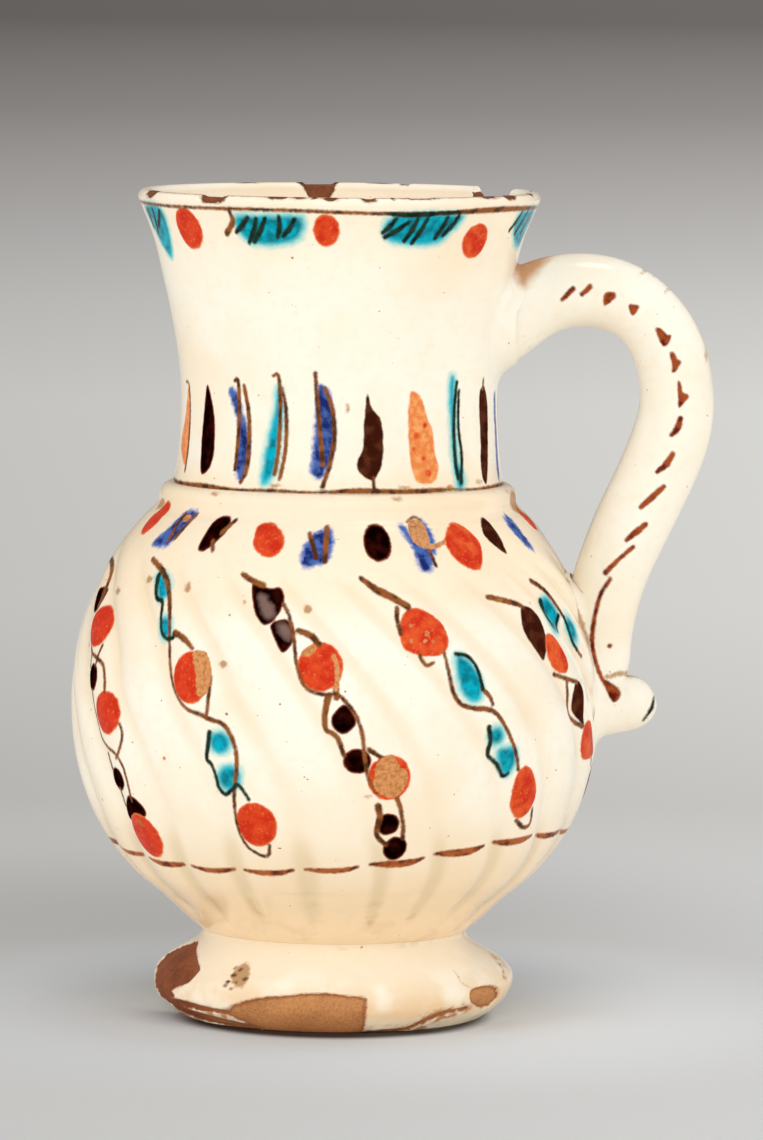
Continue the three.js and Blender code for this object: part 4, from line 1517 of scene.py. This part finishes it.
def neck_material():
    coats = glaze_coats("neck glaze")
    shoulder_shade_and_rim_tint_coat(coats)
    coats.cover(coats.times(coats.ramp(coats.layer("inside"), 0, 1), 0.3), shade(246, 218, 178))
    for coat in (turquoise_coat, cobalt_coat, manganese_coat, umber_coat, thin_red_coat, red_coat,
                 brown_line_coat, dark_line_coat, stain_coat):
        coat(coats)
    clay_coat(coats, shade(134, 76, 42), DARK_CLAY, DARK_CLAY)
    return coats.finished(8, 0.12)


def collar_material():
    coats = glaze_coats("collar glaze")
    shoulder_shade_and_rim_tint_coat(coats)
    for coat in (cobalt_coat, manganese_coat, umber_coat, red_coat, brown_line_coat, buff_coat,
                 stain_coat):
        coat(coats)
    return coats.finished(5, 0.1)


def paler_foot_coat(coats):
    coats.cover(coats.ramp(coats.axis("Z"), 21 * MM, 12.5 * MM), FOOT_CREAM)


def foot_material():
    coats = glaze_coats("foot glaze")
    paler_foot_coat(coats)
    clouds = coats.clouds(9, 4, 0.3, 0.62)
    height = coats.axis("Z")
    band = coats.times(coats.ramp(height, 16 * MM, 6 * MM), coats.ramp(height, MM, 5 * MM))
    coats.cover(coats.times(coats.times(band, clouds), 0.7), shade(238, 200, 148))
    stain_coat(coats)
    rust_stain_coat(coats)
    brown_line_coat(coats)
    # Darker, redder clay in the chips on the left: partly the clay's own colour, partly painted shade
    leftward = coats.ramp(coats.axis("X"), (AXIS_X - 20) * MM, (AXIS_X - 32) * MM)
    light = coats.blend(leftward, CLAY, RED_CLAY)
    dark = coats.blend(leftward, BROWN_CLAY, DARK_CLAY)
    clay_coat(coats, light, dark, RED_CLAY)
    return coats.finished(5, 0.12)


def handle_finish(name):
    """Glaze of the handle with its stains and rust-brown dabs."""
    coats = glaze_coats(name)
    stain_coat(coats)
    root_stain_coat(coats)
    rust_line_coat(coats)
    return coats.finished(8, 0.12)


def handle_material():
    return handle_finish("handle glaze")


def handle_seam_material():
    """Slip under the painting of the handle, which runs on over it."""
    return handle_finish("handle seam slip")


def roll_material():
    coats = glaze_coats("handle roll glaze")
    stain_coat(coats)
    rust_line_coat(coats)
    dark_line_coat(coats)
    return coats.finished(6, 0.12)


def slip_material():
    """Glazed seams of slip with dirt in places."""
    coats = glaze_coats("slip")
    paler_foot_coat(coats)
    dirt = coats.times(coats.clouds(5, 5, 0.55, 0.75), 0.4)
    coats.cover(dirt, shade(190, 145, 100), 0.3)
    return coats.finished(4, 0.12)


# Floor, light and camera

# Shade of the floor by its distance from the jug in metres
FLOOR_SHADES = [
    (0.15, shade(205, 203, 199)), (0.4, shade(190, 188, 184)),
    (1, shade(204, 203, 199)), (2.1, shade(206, 205, 201)),
    (3.1, shade(193, 192, 189)), (4.9, shade(170, 167, 165)),
    (8, shade(140, 136, 134)), (17, shade(106, 102, 100)),
]
NEAREST, FARTHEST = 0.1, 30
FLOOR_REACH = 60
ROOM_LIGHT = (0.80, 0.78, 0.742, 1)
ROOM_SHADE = shade(131, 127, 125)

# Camera: lens and sensor in millimetres, range and place in metres, angles in degrees
LENS = 236.6
SENSOR_WIDTH = 36
SIGHT = 200
VIEW_DISTANCE = 1.6309
VIEW_HEIGHT = 0.2377
VIEW_ASIDE = 0.00972
VIEW_DIP = 4.9215
VIEW_TURN = 0.55

# Point that the lamps shine at
LAMP_AIM = Vector((0, 0, 0.09))


def distance_share(distance):
    """Place of a distance on the floor's scale of shades, from 0 to 1."""
    return math.log(distance / NEAREST) / math.log(FARTHEST / NEAREST)


def seen_rays(tree):
    """1 for what the camera sees, straight or mirrored, and 0 for light that falls on things."""
    path = tree.nodes.new("ShaderNodeLightPath").outputs
    seen = path["Is Camera Ray"]
    for kind in ("Is Glossy Ray", "Is Transmission Ray"):
        either = tree.nodes.new("ShaderNodeMath")
        either.operation = "MAXIMUM"
        tree.links.new(seen, either.inputs[0])
        tree.links.new(path[kind], either.inputs[1])
        seen = either.outputs[0]
    return seen


def floor_greys_and_painted_shadows(coats, aside):
    """Shades of the paper round the jug: a grey that is darker on the left as painted shade, and soft
    round spots over it, which are painted shadows and a painted lighter patch near the jug.
    """
    axis = AXIS_X * MM
    # Painted light: near the jug the paper is lighter and bluer, and darker on the left as painted shade
    left_to_right = coats.ramp(aside, -0.04, 0.04)
    near = coats.blend(left_to_right, shade(202, 208, 216), shade(220, 226, 234))
    # Painted shade: the grey is darker on the left
    grey = coats.blend(coats.ramp(aside, -0.06, 0.06), shade(197, 199, 201), shade(208, 210, 213))
    # Middle of each spot, its outer and inner radius in metres, and its shade
    spots = [
        # Painted shadow to the left behind the jug
        (-0.06, 0.16, 0.2, 0.01, shade(179, 179, 180)),
        # Painted light: a lighter, bluer patch round the jug
        (axis, 0, 0.14, 0.05, near),
        # Painted shadow behind the foot
        (axis, 0.05, 0.085, 0.02, shade(170, 176, 182)),
        # Painted contact shadow under the edge of the foot
        (axis, -0.008, 0.036, 0.03, shade(60, 57, 54)),
    ]
    for x, y, outer, inner, colour in spots:
        grey = coats.blend(coats.ramp(coats.distance(x, y, 0), outer, inner), grey, colour)
    return grey


def floor_material():
    """Grey paper: lit near the jug, and of a set shade further off."""
    coats = Coats("paper", shade(240, 232, 218), 0.9)
    from_jug = coats.distance(AXIS_X * MM, 0, 0)
    # How far a place lies to the right, for its distance from a point high in front of the jug
    aside = coats.calculate("DIVIDE", coats.axis("X"), coats.distance(0, -VIEW_DISTANCE, 0.4))
    coats.cover(seen_rays(coats.tree), floor_greys_and_painted_shadows(coats, aside))
    scaled = coats.calculate("DIVIDE", from_jug, NEAREST)
    share = coats.calculate("LOGARITHM", scaled, FARTHEST / NEAREST)
    ramp = coats.node("ShaderNodeValToRGB")
    coats.link(share, ramp.inputs[0])
    elements = ramp.color_ramp.elements
    elements.remove(elements[1])
    elements[0].position = distance_share(FLOOR_SHADES[0][0])
    elements[0].color = FLOOR_SHADES[0][1]
    for distance, colour in FLOOR_SHADES[1:]:
        elements.new(distance_share(distance)).color = colour
    # Further off the paper glows in set shades, made brighter to the right as painted light
    glow = coats.node("ShaderNodeEmission")
    coats.link(ramp.outputs[0], glow.inputs["Color"])
    coats.link(coats.between(coats.ramp(aside, -0.15, 0.15), 0.8, 1.2), glow.inputs["Strength"])
    far = coats.times(coats.ramp(from_jug, 0.15, 0.5), seen_rays(coats.tree))
    mixed = coats.node("ShaderNodeMixShader")
    coats.link(far, mixed.inputs[0])
    coats.link(coats.surface.outputs[0], mixed.inputs[1])
    coats.link(glow.outputs[0], mixed.inputs[2])
    coats.link(mixed.outputs[0], coats.tree.nodes["Material Output"].inputs["Surface"])
    return coats.finished(0.6, 0.03)


def add_floor():
    half = FLOOR_REACH
    corners = [(-half, -half, 0), (half, -half, 0), (half, half, 0), (-half, half, 0)]
    mesh = bpy.data.meshes.new("paper_floor")
    mesh.from_pydata(corners, [], [(0, 1, 2, 3)])
    mesh.materials.append(floor_material())
    floor = bpy.data.objects.new("paper_floor", mesh)
    bpy.context.scene.collection.objects.link(floor)


def add_camera():
    camera = bpy.data.objects.new("camera", bpy.data.cameras.new("camera"))
    bpy.context.scene.collection.objects.link(camera)
    camera.data.lens = LENS
    camera.data.sensor_width = SENSOR_WIDTH
    camera.data.clip_end = SIGHT
    camera.location = (AXIS_X * MM + VIEW_ASIDE, -VIEW_DISTANCE, VIEW_HEIGHT)
    camera.rotation_mode = "ZYX"
    camera.rotation_euler = (math.radians(90 - VIEW_DIP), 0, math.radians(VIEW_TURN))
    bpy.context.scene.camera = camera
    bpy.context.scene.view_settings.view_transform = "Standard"


def add_lamp(name, place, size, power, mirrored=True):
    """A square soft lamp that points at the middle of the jug, and may show as a gleam on the glaze."""
    data = bpy.data.lights.new(name, "AREA")
    data.size = size
    data.energy = power
    lamp = bpy.data.objects.new(name, data)
    bpy.context.scene.collection.objects.link(lamp)
    lamp.location = place
    lamp.visible_glossy = mirrored
    lamp.rotation_euler = (LAMP_AIM - Vector(place)).to_track_quat("-Z", "Y").to_euler()


def set_surroundings():
    """A pale room that lights the jug evenly and looks grey where it is seen."""
    world = bpy.data.worlds.new("room")
    bpy.context.scene.world = world
    world.use_nodes = True
    tree = world.node_tree
    mix = tree.nodes.new("ShaderNodeMix")
    mix.data_type = "RGBA"
    mix.inputs[6].default_value = ROOM_LIGHT
    mix.inputs[7].default_value = ROOM_SHADE
    tree.links.new(seen_rays(tree), mix.inputs[0])
    tree.links.new(mix.outputs[2], tree.nodes["Background"].inputs["Color"])


# The jug

slip = slip_material()
fit(foot_piece(), "foot", foot_material())
fit(foot_seam_piece(), "foot_lute", slip)
fit(body_piece(), "body", body_material())
fit(neck_seam_piece(), "neck_lute", slip)
fit(collar_piece(), "collar", collar_material())
fit(neck_piece(), "neck", neck_material())
fit(handle_piece(), "handle", handle_material())
handle_slip = handle_seam_material()
fit(top_bead_piece(), "handle_top_lute", handle_slip)
fit(base_bead_piece(), "handle_base_lute", handle_slip)
fit(curl_piece(), "handle_curl", roll_material())

add_floor()
add_camera()
set_surroundings()
add_lamp("front lamp", (0, -2, 0.7), 0.9, 2.8, False)
add_lamp("right front lamp", (0.95, -1.6, 0.95), 0.9, 4.5, False)
add_lamp("left lamp", (-1.6, -1.0, 0.5), 0.9, 8.5, False)
add_lamp("right lamp", (1.5, -0.8, 0.6), 0.8, 3.5, False)
add_lamp("top lamp", (0.25, 0, 1.6), 0.4, 2)
